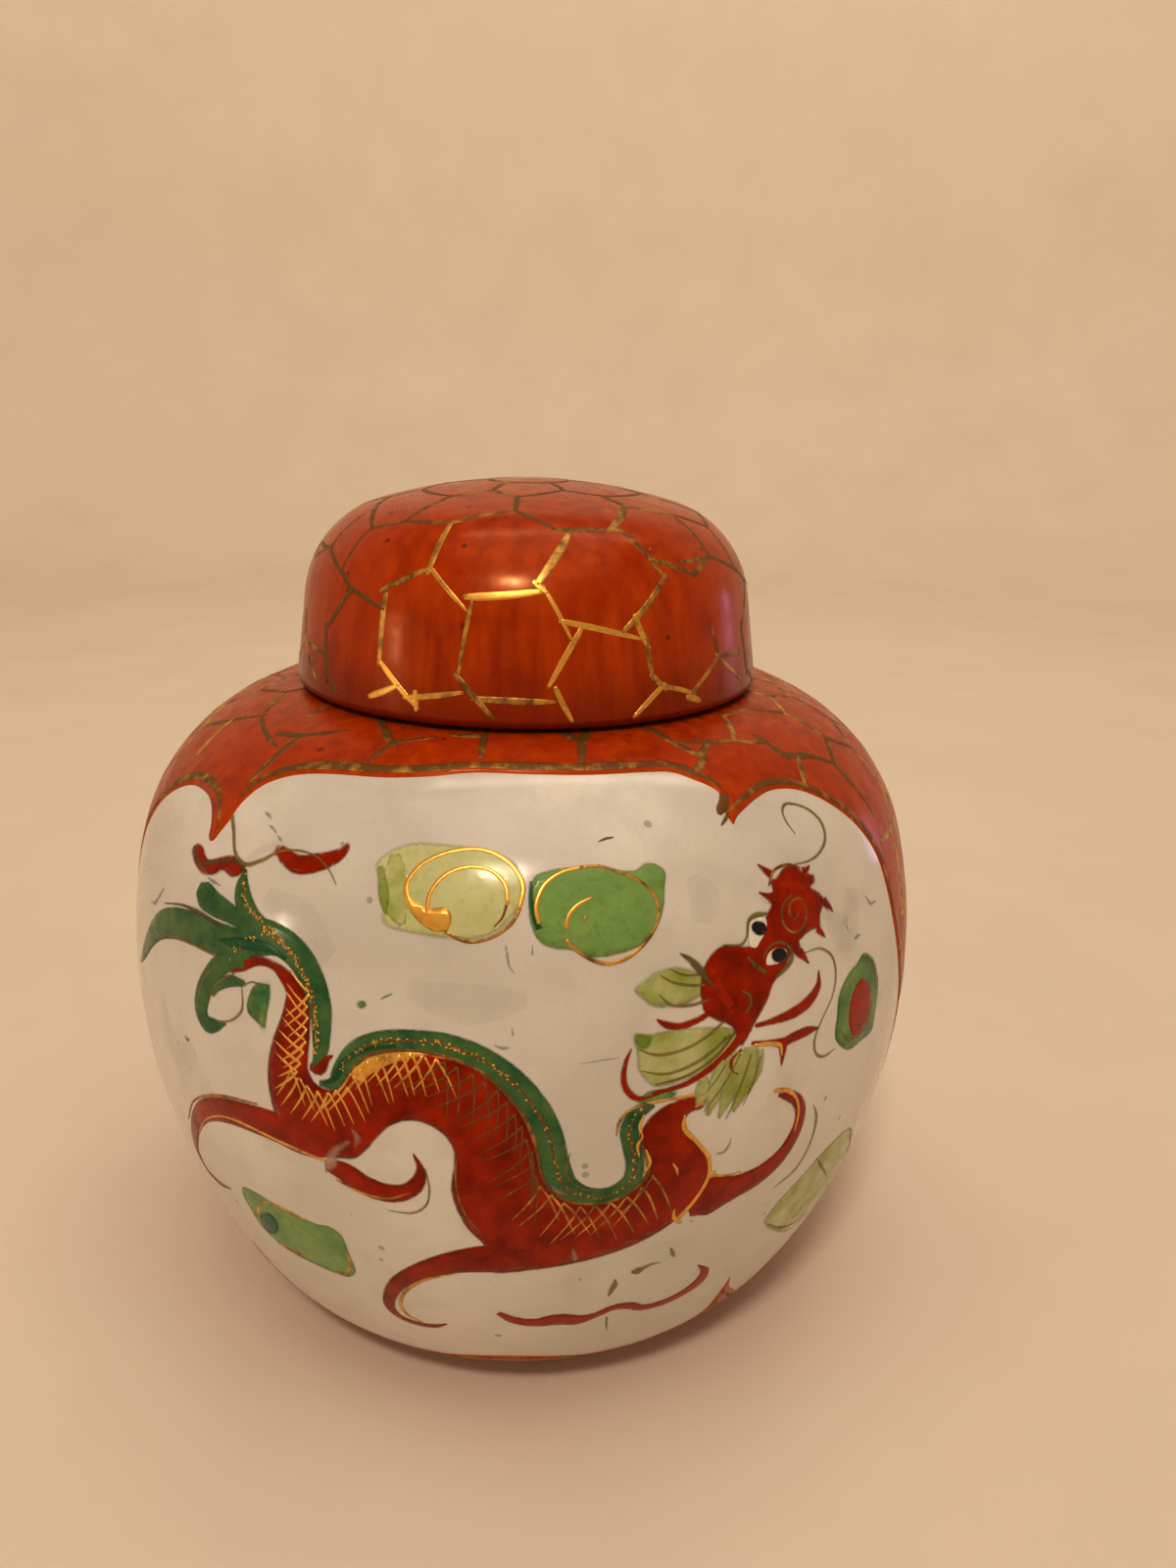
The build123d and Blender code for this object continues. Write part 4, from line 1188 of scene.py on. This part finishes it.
def paint_olive():
    """Thin brush lines in olive brown: whiskers, ribs of the beard, stems."""
    olive = Drawing(jar_stretch)
    for points, tone in (
        ([(-40.2, 79.4, 0.35), (-38.5, 78, 0.3), (-36.5, 75.9, 0.3), (-34.5, 75.2, 0.32), (-32, 76.2, 0.3),
          (-30, 77.5, 0.22), (-27, 78.1, 0.16), (-24.5, 77.8, 0.12), (-22.5, 76.7, 0.1), (-21.3, 75.5, 0.06)],
         0.5),
        ([(-44.6, 74.6, 0.2), (-42, 73.5, 0.35), (-39, 74.5, 0.3), (-36, 75.2, 0.25), (-34.5, 74.8, 0.3),
          (-33.6, 74, 0.2)], 0.9),
        ([(33, 75.5, 0.12), (35.5, 75.35, 0.16), (38, 75.8, 0.22), (40, 77, 0.25), (40.6, 78.7, 0.3),
          (39.7, 80.3, 0.25), (38, 81.4, 0.2), (36, 81.9, 0.25), (34.8, 81.3, 0.2), (34.5, 80, 0.15),
          (35, 78.5, 0.06)], 0.55),
        ([(32, 66.2, 0.08), (34.5, 66, 0.16), (36.5, 64.5, 0.2), (37, 62.3, 0.2), (36.2, 60, 0.16),
          (34.4, 58, 0.14), (33.2, 56, 0.2), (33.5, 54.3, 0.22), (35, 53.3, 0.2), (37, 53.5, 0.06)], 0.3),
        ([(-10.3, 47, 0.12), (-10, 44.5, 0.14), (-10.5, 42.3, 0.16), (-12, 41, 0.16), (-14.8, 40.8, 0.05)],
         0.4),
        ([(34.2, 47.4, 0.06), (35.1, 45.4, 0.25), (35, 42, 0.2), (33.4, 39, 0.2), (30, 37.7, 0.06)], 0.15),
        ([(15.9, 69.4, 0.1), (17, 68.6, 0.4), (18.4, 67, 0.5), (19, 65.8, 0.2)], 0.8),
        ([(18.6, 66.6, 0.2), (20, 65, 0.1)], 0.8),
        ([(13.6, 67.5, 0.1), (15, 66.6, 0.18), (17, 66, 0.2), (18.6, 65.8, 0.2)], 0.3),
        ([(14.6, 68, 0.08), (16.2, 67.2, 0.16), (18.2, 66.9, 0.16)], 0.3),
        ([(13.4, 65.6, 0.08), (14.6, 64.4, 0.18), (16.6, 64, 0.25), (19, 64.2, 0.2)], 0.45),
        ([(11, 60.3, 0.08), (13, 59.4, 0.22), (16, 59.5, 0.22), (18.6, 60.4, 0.22), (20.6, 61.6, 0.2)], 0.2),
        ([(11.4, 57.9, 0.08), (14, 57.2, 0.2), (17.6, 57.9, 0.25), (21.4, 60, 0.25)], 0.2),
        ([(13, 56.2, 0.1), (16.4, 56.6, 0.2), (19.6, 58, 0.25), (22, 60.2, 0.25)], 0.6),
        ([(24, 57.2, 0.2), (22.8, 54, 0.2), (21.2, 50.4, 0.08)], 0.1),
        ([(25.2, 56.6, 0.2), (24.5, 54.2, 0.18), (23.2, 51.4, 0.08)], 0.1),
        ([(22.6, 57.6, 0.18), (20.8, 54.8, 0.18), (18.4, 52, 0.08)], 0.1),
        ([(20.8, 56.8, 0.16), (19.6, 55.2, 0.14), (18.6, 54.2, 0.06)], 0.1),
        ([(21, 69.4, 0.1), (23.4, 69.1, 0.2), (24.1, 69.8, 0.18), (24.6, 71.3, 0.3), (25.6, 71.6, 0.42),
          (27.2, 71.5, 0.2)], 0.6),
        ([(26, 67.2, 0.1), (26.8, 68, 0.2), (28.2, 68.3, 0.22), (29.7, 67.4, 0.3), (30, 66.2, 0.4),
          (28.6, 65.2, 0.42), (27.4, 64.7, 0.15)], 0.6),
        ([(24, 67.6, 0.2), (25, 66.4, 0.4), (26.4, 65.4, 0.2)], 0.7),
        ([(22.9, 64.3, 0.1), (23.9, 63.6, 0.25), (24, 62.6, 0.25), (23.2, 61.8, 0.1)], 0.6),
        ([(-48.5, 67, 0.08), (-44, 68.2, 0.2), (-40, 68.5, 0.35), (-35.5, 68.2, 0.15)], 0.95),
        ([(-51, 61.6, 0.1), (-46.5, 63.9, 0.2), (-41, 64.8, 0.2), (-36, 64.9, 0.15)], 0.4),
        ([(-35.5, 64.3, 0.1), (-38, 62, 0.2), (-39.2, 59.2, 0.1)], 0.4),
        ([(-33, 64, 0.15), (-36, 61.8, 0.2), (-37.5, 59.2, 0.1)], 0.4),
        ([(-31.8, 62.7, 0.1), (-31.7, 60.4, 0.2), (-33.3, 58.7, 0.18), (-36, 57.7, 0.1)], 0.3),
        ([(-32, 62.8, 0.1), (-30.2, 63.8, 0.15), (-28.6, 63.6, 0.06)], 0.4),
        ([(-29.6, 62.8, 0.08), (-29.8, 61.4, 0.15), (-29.2, 60.4, 0.08)], 0.3),
        ([(4.3, 49.4, 0.08), (4.0, 47, 0.15), (5.4, 45, 0.12), (8, 44.3, 0.06)], 0.5),
        ([(37.6, 38.2, 0.1), (40, 35.5, 0.3), (43, 32.4, 0.1)], 0.2),
        ([(45.6, 38.4, 0.1), (48, 35, 0.3), (50, 31.6, 0.1)], 0.2),
        ([(31.4, 31, 0.15), (34.6, 28.4, 0.35), (38.4, 26.6, 0.2), (42, 26, 0.08)], 0.2),
        ([(43.6, 62.4, 0.1), (45.4, 60.4, 0.25), (46, 57.6, 0.1)], 0.6),
        ([(38.2, 55, 0.1), (39.6, 53.6, 0.3), (42, 52.8, 0.12)], 0.5),
        ([(10.3, 22.2, 0.15), (10.6, 20.2, 0.15), (10.9, 18.4, 0.05)], 0.3),
        ([(10.3, 30.1, 0.15), (10.4, 29.2, 0.45), (10.1, 28, 0.4), (9.9, 27, 0.12)], 0.35),
        ([(12.2, 31, 0.3), (12.9, 31, 0.75), (13.6, 31.3, 0.4), (14.6, 31.7, 0.2), (15.6, 31.6, 0.08)], 0.45),
        ([(16.6, 33.8, 0.12), (16.9, 33, 0.35), (17.4, 32, 0.12)], 0.5),
        ([(24.5, 81.4, 0.12), (25.5, 82, 0.3), (26.4, 82.7, 0.2)], 0.9),
        ([(-42.2, 53.6, 0.1), (-41.8, 53.3, 0.3), (-41.3, 53.5, 0.1)], 0.5),
        ([(8.2, 81.2, 0.05), (9.2, 81.5, 0.2), (10.2, 81.6, 0.06)], 0.8),
    ):  # fmt: skip
        olive.stroke(points, 0.07, tone)
    return olive


def paint_smudges():
    """Rubbed grey and violet marks on the white glaze."""
    grey = Drawing(jar_stretch)
    for points in (
        [(-35, 81, 0.1), (-34.2, 80.8, 0.3), (-33.4, 80.5, 0.08)],
        [(-33.3, 79.8, 0.06), (-32.4, 79.6, 0.25), (-31.6, 79.2, 0.08)],
        [(-31.2, 79, 0.08), (-30.6, 78.7, 0.22), (-30.2, 78.5, 0.05)],
        [(-40, 72.4, 0.1), (-38.8, 72.3, 0.3), (-37.4, 72.2, 0.08)],
        [(-2.2, 71.2, 0.1), (-2, 70.2, 0.18), (-1.8, 69.2, 0.1), (-1.3, 68.6, 0.06)],
        [(0.5, 71.3, 0.06), (0.5, 70.3, 0.16)], [(-1.5, 63.2, 0.06), (-1.4, 62.4, 0.14)],
        [(-3.2, 61.4, 0.08), (-2.4, 61.1, 0.25), (-1.7, 61.2, 0.08)],
        [(20.4, 46.2, 0.1), (21.4, 46.2, 0.3), (22, 47, 0.2), (22.1, 47.8, 0.06)],
        [(45, 68.8, 0.1), (46, 67.6, 0.35), (47.6, 67.4, 0.1)],
        [(41.2, 65, 0.15), (42, 65.1, 0.35), (42.6, 65, 0.1)], [(-52.6, 65.6, 0.15), (-51.6, 66, 0.4),
                                                                (-49.4, 68.4, 0.15)],
        [(5.2, 59.3, 0.04), (7.4, 59.5, 0.1), (9.2, 59.6, 0.04)],
    ):  # fmt: skip
        grey.stroke(points, 0.02, 0.35, step=0.25)
    return grey


def paint_wear():
    """Rubbed patches where the red has lost its colour."""
    wear = Drawing(jar_stretch)
    for points in (
        [(-21.6, 44.2, 0.2), (-20.9, 45.6, 0.9), (-20.1, 47.4, 0.6), (-18.4, 48.9, 0.35)],
        [(5, 36.4, 0.2), (5.3, 35, 0.5), (5.4, 34.2, 0.2)], [(2.4, 45.6, 0.1), (3.2, 44.7, 0.4),
                                                             (4.2, 44.3, 0.1)],
        [(-18, 50.6, 0.15), (-17.4, 49.6, 0.5), (-17.8, 48.4, 0.2)],
    ):  # fmt: skip
        wear.stroke(points, 0.1, 0.4)
    return wear


def paint_stains():
    """Broad faint grey stains in the white glaze."""
    stain = Drawing(jar_stretch)
    for points in (
        [(18.4, 76.6, 0.8), (19.6, 74.6, 1.9), (18.8, 72, 1.3)],
        [(-30, 73, 1.0), (-25, 71, 2.6), (-21, 68, 1.6)], [(-12, 66.4, 1.0), (-6, 65.4, 2.2), (0, 66, 1.0)],
        [(36, 70, 0.8), (40, 66, 2.2), (42, 70.6, 1.2)], [(-48, 56, 0.8), (-45, 50, 2.4), (-40, 52, 1.4)],
    ):  # fmt: skip
        stain.stroke(points, 0.012, 0.3)
    return stain


def paint_eyes():
    white = Drawing(jar_stretch)
    white.shape([blob((24.2, 69.8), (24.6, 71.2), (25.8, 71.5), (27, 71.1), (27.1, 69.9), (26.2, 68.9),
                      (25.1, 68), (24.3, 68.6))],
                0.066, 0.4, grid=0.4)  # fmt: skip
    white.shape([blob((26, 66.3), (26.5, 67.6), (28, 68), (29.6, 67.2), (29.3, 66.2), (27.8, 65.8))], 0.066,
                0.4, grid=0.4)
    black = Drawing(jar_stretch)
    black.shape([oval(25.8, 70.25, 1.15, 0.8, -0.4)], 0.12, 0.5, grid=0.4)
    black.shape([oval(28.2, 66.9, 1.25, 0.88, -0.35)], 0.12, 0.5, grid=0.4)
    return white, black


# ---- the gold net on the dragon's back: two rows of long strokes lean across each other along the fin
net_on_tail = [(-22.9, 64.3), (-23.0, 61), (-23.3, 58), (-24.2, 55.6)]
net_in_trough = [(-25.0, 55.8), (-23.4, 54.6), (-21, 54), (-18.4, 55.2)]
net_on_hump = [(-17.8, 56.8), (-15.5, 58.7), (-12.5, 59.8), (-9, 59.7)]
net_past_hump = [(-8.2, 59.5), (-5, 58.2), (-2.4, 56), (-0.6, 53), (0.4, 50), (0.9, 46.8)]
net_in_dip = [(1.3, 45.5), (3.6, 43.2), (6.5, 42.3), (9.3, 42.6), (11.8, 44), (13.2, 45.4)]


def net_strokes(length, half_width, tone):
    """One stroke of the net, from the fin to its thin end, lying along the x axis."""
    piece = Drawing(lambda up: np.ones_like(up))
    points = ((0, 0, 1), (0.3, 0.03, 1.1), (0.65, 0.01, 0.85), (1, -0.03, 0.4))
    piece.stroke([(length * x, length * y, half_width * w) for x, y, w in points], 0.07, tone, 0.8)
    return piece


# ------------------------------------------------------------------ the gold net on a third of the lid
lid_lines = [
    (-40, 17.6, -32.6, 17.6, 0.32, 0.75), (-33.2, 17.7, -26.2, 15, 0.34, 0.85),
    (-26.8, 15.5, -26, 21.8, 0.3, 0.85), (-27, 15.6, -23, 13.2, 0.38, 0.9), (-24, 13.9, -17.5, 12, 0.32, 0.8),
    (-23.2, 13.8, -28.2, 8.4, 0.42, 0.9), (-28.2, 9.2, -27, 2.4, 0.45, 0.9),
    (-27.8, 5.6, -36, 6.2, 0.32, 0.8), (-27.2, 3.4, -24.5, 1.4, 0.35, 0.9),
    (-17.6, 13.9, -17.9, 5.6, 0.48, 0.35), (-18.6, 13.9, -12, 17.2, 0.4, 0.55),
    (-12.4, 16.2, -12, 24, 0.42, 0.7), (-12.6, 17.4, -6.9, 12.6, 0.32, 0.5),
    (-7.5, 14.1, 2.1, 15, 0.55, 0.05), (-6.4, 13.8, -7.8, 5.6, 0.3, 0.5), (0.5, 16.1, 2.2, 14.7, 0.4, 0.1),
    (0.9, 15.6, 6, 22.6, 0.62, 0.35), (1.6, 15.6, 4.9, 9.6, 0.3, 0.35), (3.4, 11.8, 13.4, 9.4, 0.4, 0.35),
    (6, 11, 2.1, 4.6, 0.42, 0.3), (10.8, 10.3, 17.9, 16.3, 0.42, 0.45), (12.4, 12.2, 14.3, 8.2, 0.42, 0.5),
    (13.9, 9.6, 14.6, 4.6, 0.36, 0.7), (16.3, 17.8, 18, 15.4, 0.3, 0.7), (3.4, 22.9, 14.2, 22.4, 0.4, 0.6),
    (11.6, 22.2, 21.6, 28.6, 0.55, 0.75), (13.6, 23, 16.8, 17.6, 0.42, 0.7),
    (16, 18.3, 23.2, 15.7, 0.4, 0.75), (22.2, 15.6, 28.6, 17.9, 0.36, 0.6), (28, 17.6, 28.4, 25, 0.36, 0.7),
    (-18, 6.6, -12.2, 1.7, 0.42, 0.3), (-19.2, 2.2, -14.8, 4.2, 0.5, 0.2), (-14.4, 2.8, -7.1, 4, 0.42, 0.35),
    (-12.9, 3.8, -12.6, 1.4, 0.4, 0.3), (-8.2, 6, -3.7, 1.3, 0.4, 0.6), (-6.3, 3.4, 3, 3.2, 0.45, 0.6),
    (2.9, 4.9, 4.9, 0.9, 0.38, 0.4), (14.2, 5.6, 16.4, 3.5, 0.4, 0.4), (16.2, 4.4, 11.8, 1, 0.4, 0.45),
    (15.4, 4.2, 20.8, 2.6, 0.36, 0.55), (19.2, 2.4, 21.6, 1.6, 0.5, 0.6), (20.2, 2.8, 26.2, 6.7, 0.34, 0.6),
    (25, 6.5, 31.6, 2.2, 0.34, 0.65), (25.8, 6.4, 24.6, 9.6, 0.3, 0.8), (-12.3, 23.6, -20.4, 23.2, 0.42, 0.8),
    (-19.8, 23.4, -26.4, 21.2, 0.4, 0.8), (-12.4, 23.4, -2.2, 27.6, 0.42, 0.75),
    (-2.8, 27.4, 4.4, 22.6, 0.38, 0.7), (20.6, 28, 28.6, 24.6, 0.38, 0.75), (28, 25, 35.2, 21.4, 0.38, 0.8),
    (-20.2, 23, -20.4, 31.4, 0.4, 0.8), (-2.5, 27.2, -3, 32.6, 0.42, 0.8), (20.8, 28, 20.8, 32.6, 0.42, 0.8),
    (-20.4, 30.8, -11.8, 34.8, 0.42, 0.8), (-12.4, 34.6, -2.8, 31.8, 0.42, 0.75),
    (-3.4, 31.9, 12.4, 35.2, 0.4, 0.8), (11.8, 35.2, 21.4, 31.9, 0.4, 0.8), (20.6, 31.9, 41, 31, 0.4, 0.85),
    (-12, 34.4, -15.4, 40.4, 0.42, 0.8), (12.2, 34.8, 15.4, 40.4, 0.42, 0.8), (-16, 40, 46.2, 40, 0.4, 0.8),
]  # fmt: skip


def paint_lid_gold():
    gold = Drawing(lid_stretch)
    for line in lid_lines:
        x0, y0, x1, y1, half_width, tone = line
        straight_brush(gold, x0, y0, x1, y1, lid_gold_share * half_width, tone, height=0.025)
    return gold


# ------------------------------------------------------------------ build: the two turned pieces
body_line, body_finish = body_outline()
lid_line, lid_finish = lid_outline()
jar_form = outline_object("outline of the jar", body_line, body_finish)
lid_form = outline_object("outline of the lid", lid_line, lid_finish)
jar_face = outline_object("painted face of the jar", outline_up_the_jar + [(neck_radius + 1,
                                                                            shoulder_height - SKIN)])
lid_face_line = [(lid_rim_radius - SKIN, lid_base)] + lid_arcs(SKIN)
lid_face = outline_object("painted face of the lid", lid_face_line)
lid_stretch = stretch_of(lid_face_line, LID_ROUND)
helpers = [jar_form, lid_form, jar_face, lid_face]


def turned(name, form, finish, steps):
    return grown(
        name, bpy.data.meshes.new(name), WHEEL, {"Outline": form, "Steps round": steps,
                                                 "Finish": FINISHES[finish]}
    )


def wrapped(name, drawing, finish, face=None, round_size=FRONT_ROUND, copies=2, join=0.0):
    values = {"Outline": face or jar_face, "Round": round_size * MM, "Copies": copies, "Join": join}
    mesh = drawing if isinstance(drawing, bpy.types.Mesh) else drawing.mesh(name)
    return grown(name, mesh, WRAP, {**values, "Finish": FINISHES[finish]})


def row(name, line, piece, turn, spacing, seed, uneven=0.1, scatter=0.12, kept=1.0, smallest=0.8):
    """A row of one piece along a line of the drawing, still flat."""
    path = smooth(line)
    guide = outline_object(name + " line", [(0, 0)])
    guide.data.clear_geometry()
    guide.data.from_pydata([(x * MM, y * MM, 0) for x, y in path], [(i, i + 1) for i in range(len(path) - 1)],
                           [])
    single = bpy.data.objects.new(name + " piece", piece.mesh(name + " piece"))
    bpy.context.scene.collection.objects.link(single)
    values = {"Line": guide, "Piece": single, "Spacing": spacing * MM, "Turn": radians(turn),
              "Uneven": uneven}
    values |= {"Scatter": scatter * MM, "Kept": kept, "Smallest": smallest, "Seed": seed,
               "Finish": FINISHES["gold"]}
    flat = grown(name, bpy.data.meshes.new(name), ROW, values)
    helpers.extend([guide, single, flat])
    return flat.data


def gold_grain():
    grain = Drawing(lambda up: np.ones_like(up))
    grain.stroke([(-0.2, 0.04, 0.05), (-0.05, 0, 0.13), (0.1, 0.04, 0.09), (0.2, -0.03, 0.04)], 0.095, 0.2,
                 0.15)
    return grain


jar_pieces = [
    turned("jar porcelain", jar_form, "porcelain", 216),
    wrapped("orange ground on the jar", paint_ground(), "ground", join=2e-6),
    wrapped("gold net on the jar", paint_ground_gold(), "gold"),
    wrapped("dragon and ribbons", paint_red(), "red"),
    wrapped("fins and leaves", paint_green(), "green"),
    wrapped("green cloud", paint_cloud(), "green"),
    wrapped("deep green pools", paint_deep_green(), "deep green"),
    wrapped("pale cloud and beard", paint_pale_green(), "pale green"),
    wrapped("gold lines on the dragon and clouds", paint_gold(), "gold"),
    wrapped("olive brush lines", paint_olive(), "olive"),
    wrapped("grey smudges", paint_smudges(), "smudge"),
    wrapped("faint stains", paint_stains(), "stain"),
    wrapped("worn patches", paint_wear(), "worn"),
]
for name, drawing, finish in zip(("eye whites", "pupils"), paint_eyes(), ("white", "black")):
    jar_pieces.append(wrapped(name, drawing, finish))
rows = (
    ("tail", net_on_tail, -136, 4.3, 0.17, 0.2, 1.2), ("tail across", net_on_tail, 150, 3.7, 0.16, 0.25, 1.2),
    ("trough", net_in_trough, -62, 4.8, 0.15, 0.3, 1.2), ("trough across", net_in_trough, -122, 4.8, 0.15,
                                                          0.35, 1.2),
    ("hump", net_on_hump, -66, 4.8, 0.15, 0.38, 1.15), ("hump across", net_on_hump, -124, 5.0, 0.15, 0.42,
                                                        1.15),
    ("past hump", net_past_hump, -88, 6.6, 0.12, 0.85, 1.4), ("past hump across", net_past_hump, -142, 6.0,
                                                              0.12, 0.85, 1.4),
    ("dip", net_in_dip, -62, 6.4, 0.14, 0.55, 1.6), ("dip across", net_in_dip, -122, 6.2, 0.13, 0.58, 1.6),
)  # fmt: skip
for seed, (name, line, turn, length, half_width, tone, spacing) in enumerate(rows):
    flat = row(f"net {name}", line, net_strokes(length, half_width, tone), turn, spacing, seed)
    jar_pieces.append(wrapped(f"gold net {name}", flat, "gold"))
grain_rows = (
    (fin_middle, 0.11, 0.32, 0.6), (fin_lower, 0.2, 0.3, 0.5), ([p[:2] for p in hump_fin[2:9]], 0.13, 0.3,
                                                                0.55),
    ([p[:2] for p in hump_fin[8:]], 0.25, 0.22, 0.5),
)  # fmt: skip
for seed, (line, spacing, scatter, kept) in enumerate(grain_rows):
    flat = row(f"grains {seed}", line, gold_grain(), 40, spacing, 20 + seed, 1.5, scatter, kept, 0.3)
    jar_pieces.append(wrapped(f"gold grains on the fin {seed}", flat, "gold"))

lid_pieces = [
    turned("lid porcelain", lid_form, "lid", 240),
    wrapped("gold net on the lid", paint_lid_gold(), "gold", lid_face, LID_ROUND, 3),
]
for piece in helpers:
    bpy.data.objects.remove(piece)

for piece in jar_pieces:
    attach(piece, "jar_body")
for piece in lid_pieces:
    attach(piece, "lid")
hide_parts("jar_body")
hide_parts("lid")

# ------------------------------------------------------------------ floor, light and camera
def floor_material():
    f = Finish("pale floor", 0.95, Specular_IOR_Level=0.2)
    f.set("Base Color", f.mix(f.noise(0.02, 3.0), "#E4DACB", "#DACFBF"))
    return f.material


def bowl_floor():
    """A round floor that curves up into a plain wall on every side."""
    flat, curve, half_wall, wall = 650, 250, 600, 1100
    line = [(0, 0), (300, 0), (flat, 0)] + arc((flat, curve), curve, -pi / 2, 0, 20)[1:]
    line += [(flat + curve, half_wall), (flat + curve, wall)]
    form = outline_object("outline of the floor", line, [GLAZED] * len(line))
    FINISHES["floor"] = floor_material()
    made = turned("floor", form, "floor", 128)
    bpy.data.objects.remove(form)
    return made


def soft_light(name, place, target, width, height, power, tint):
    light = bpy.data.lights.new(name, "AREA")
    light.shape = "RECTANGLE"
    light.size, light.size_y, light.energy = width, height, power
    light.color = tint
    obj = bpy.data.objects.new(name, light)
    obj.location = place
    obj.rotation_euler = (Vector(target) - Vector(place)).to_track_quat("-Z", "Y").to_euler()
    bpy.context.scene.collection.objects.link(obj)
    return obj


light_tint = (1.0, 0.87, 0.73)
stage = [
    bowl_floor(),
    soft_light("lamp over the front", (-0.09, -0.52, 0.66), (0, 0, 0.07), 0.12, 0.065, 2.6, light_tint),
    soft_light("soft light from above", (0.1, -0.3, 1.2), (0, 0, 0), 1.1, 1.1, 4.8, light_tint),
    soft_light("light on the wall behind", (0.1, 0.2, 0.75), (0, 0.9, 0.3), 0.6, 0.3, 2.4, (1.0, 0.84, 0.67)),
    soft_light("narrow light on the left", (-0.64, -0.28, 0.10), (0, 0, 0.08), 0.018, 0.09, 0.22,
               (1.0, 0.9, 0.78)),
    soft_light("faint violet on the right", (0.58, 0.30, 0.07), (0, 0, 0.09), 0.035, 0.2, 0.12,
               (0.62, 0.5, 1.0)),
]
world = bpy.data.worlds.new("room")
world.use_nodes = True
world.node_tree.nodes["Background"].inputs["Color"].default_value = (1.0, 0.84, 0.68, 1.0)
world.node_tree.nodes["Background"].inputs["Strength"].default_value = 0.12
bpy.context.scene.world = world
bpy.context.scene.view_settings.view_transform = "Standard"
bpy.context.scene.view_settings.gamma = 0.85

camera_turn, camera_tilt_down, camera_roll = -3.07, 18.03, 1.13  # degrees
film_width, focal_length = 36.0, 27.05  # millimetres
camera = bpy.data.objects.new("camera", bpy.data.cameras.new("camera"))
camera.data.sensor_width = film_width
camera.data.lens = focal_length
camera.data.clip_start = 0.01
camera.location = (0.0, -0.15074, 0.11636)
camera.matrix_world = (
    Matrix.Translation(camera.location)
    @ Matrix.Rotation(radians(camera_turn), 4, "Z")
    @ Matrix.Rotation(radians(90 - camera_tilt_down), 4, "X")
    @ Matrix.Rotation(radians(camera_roll), 4, "Z")
)
bpy.context.scene.collection.objects.link(camera)
bpy.context.scene.camera = camera
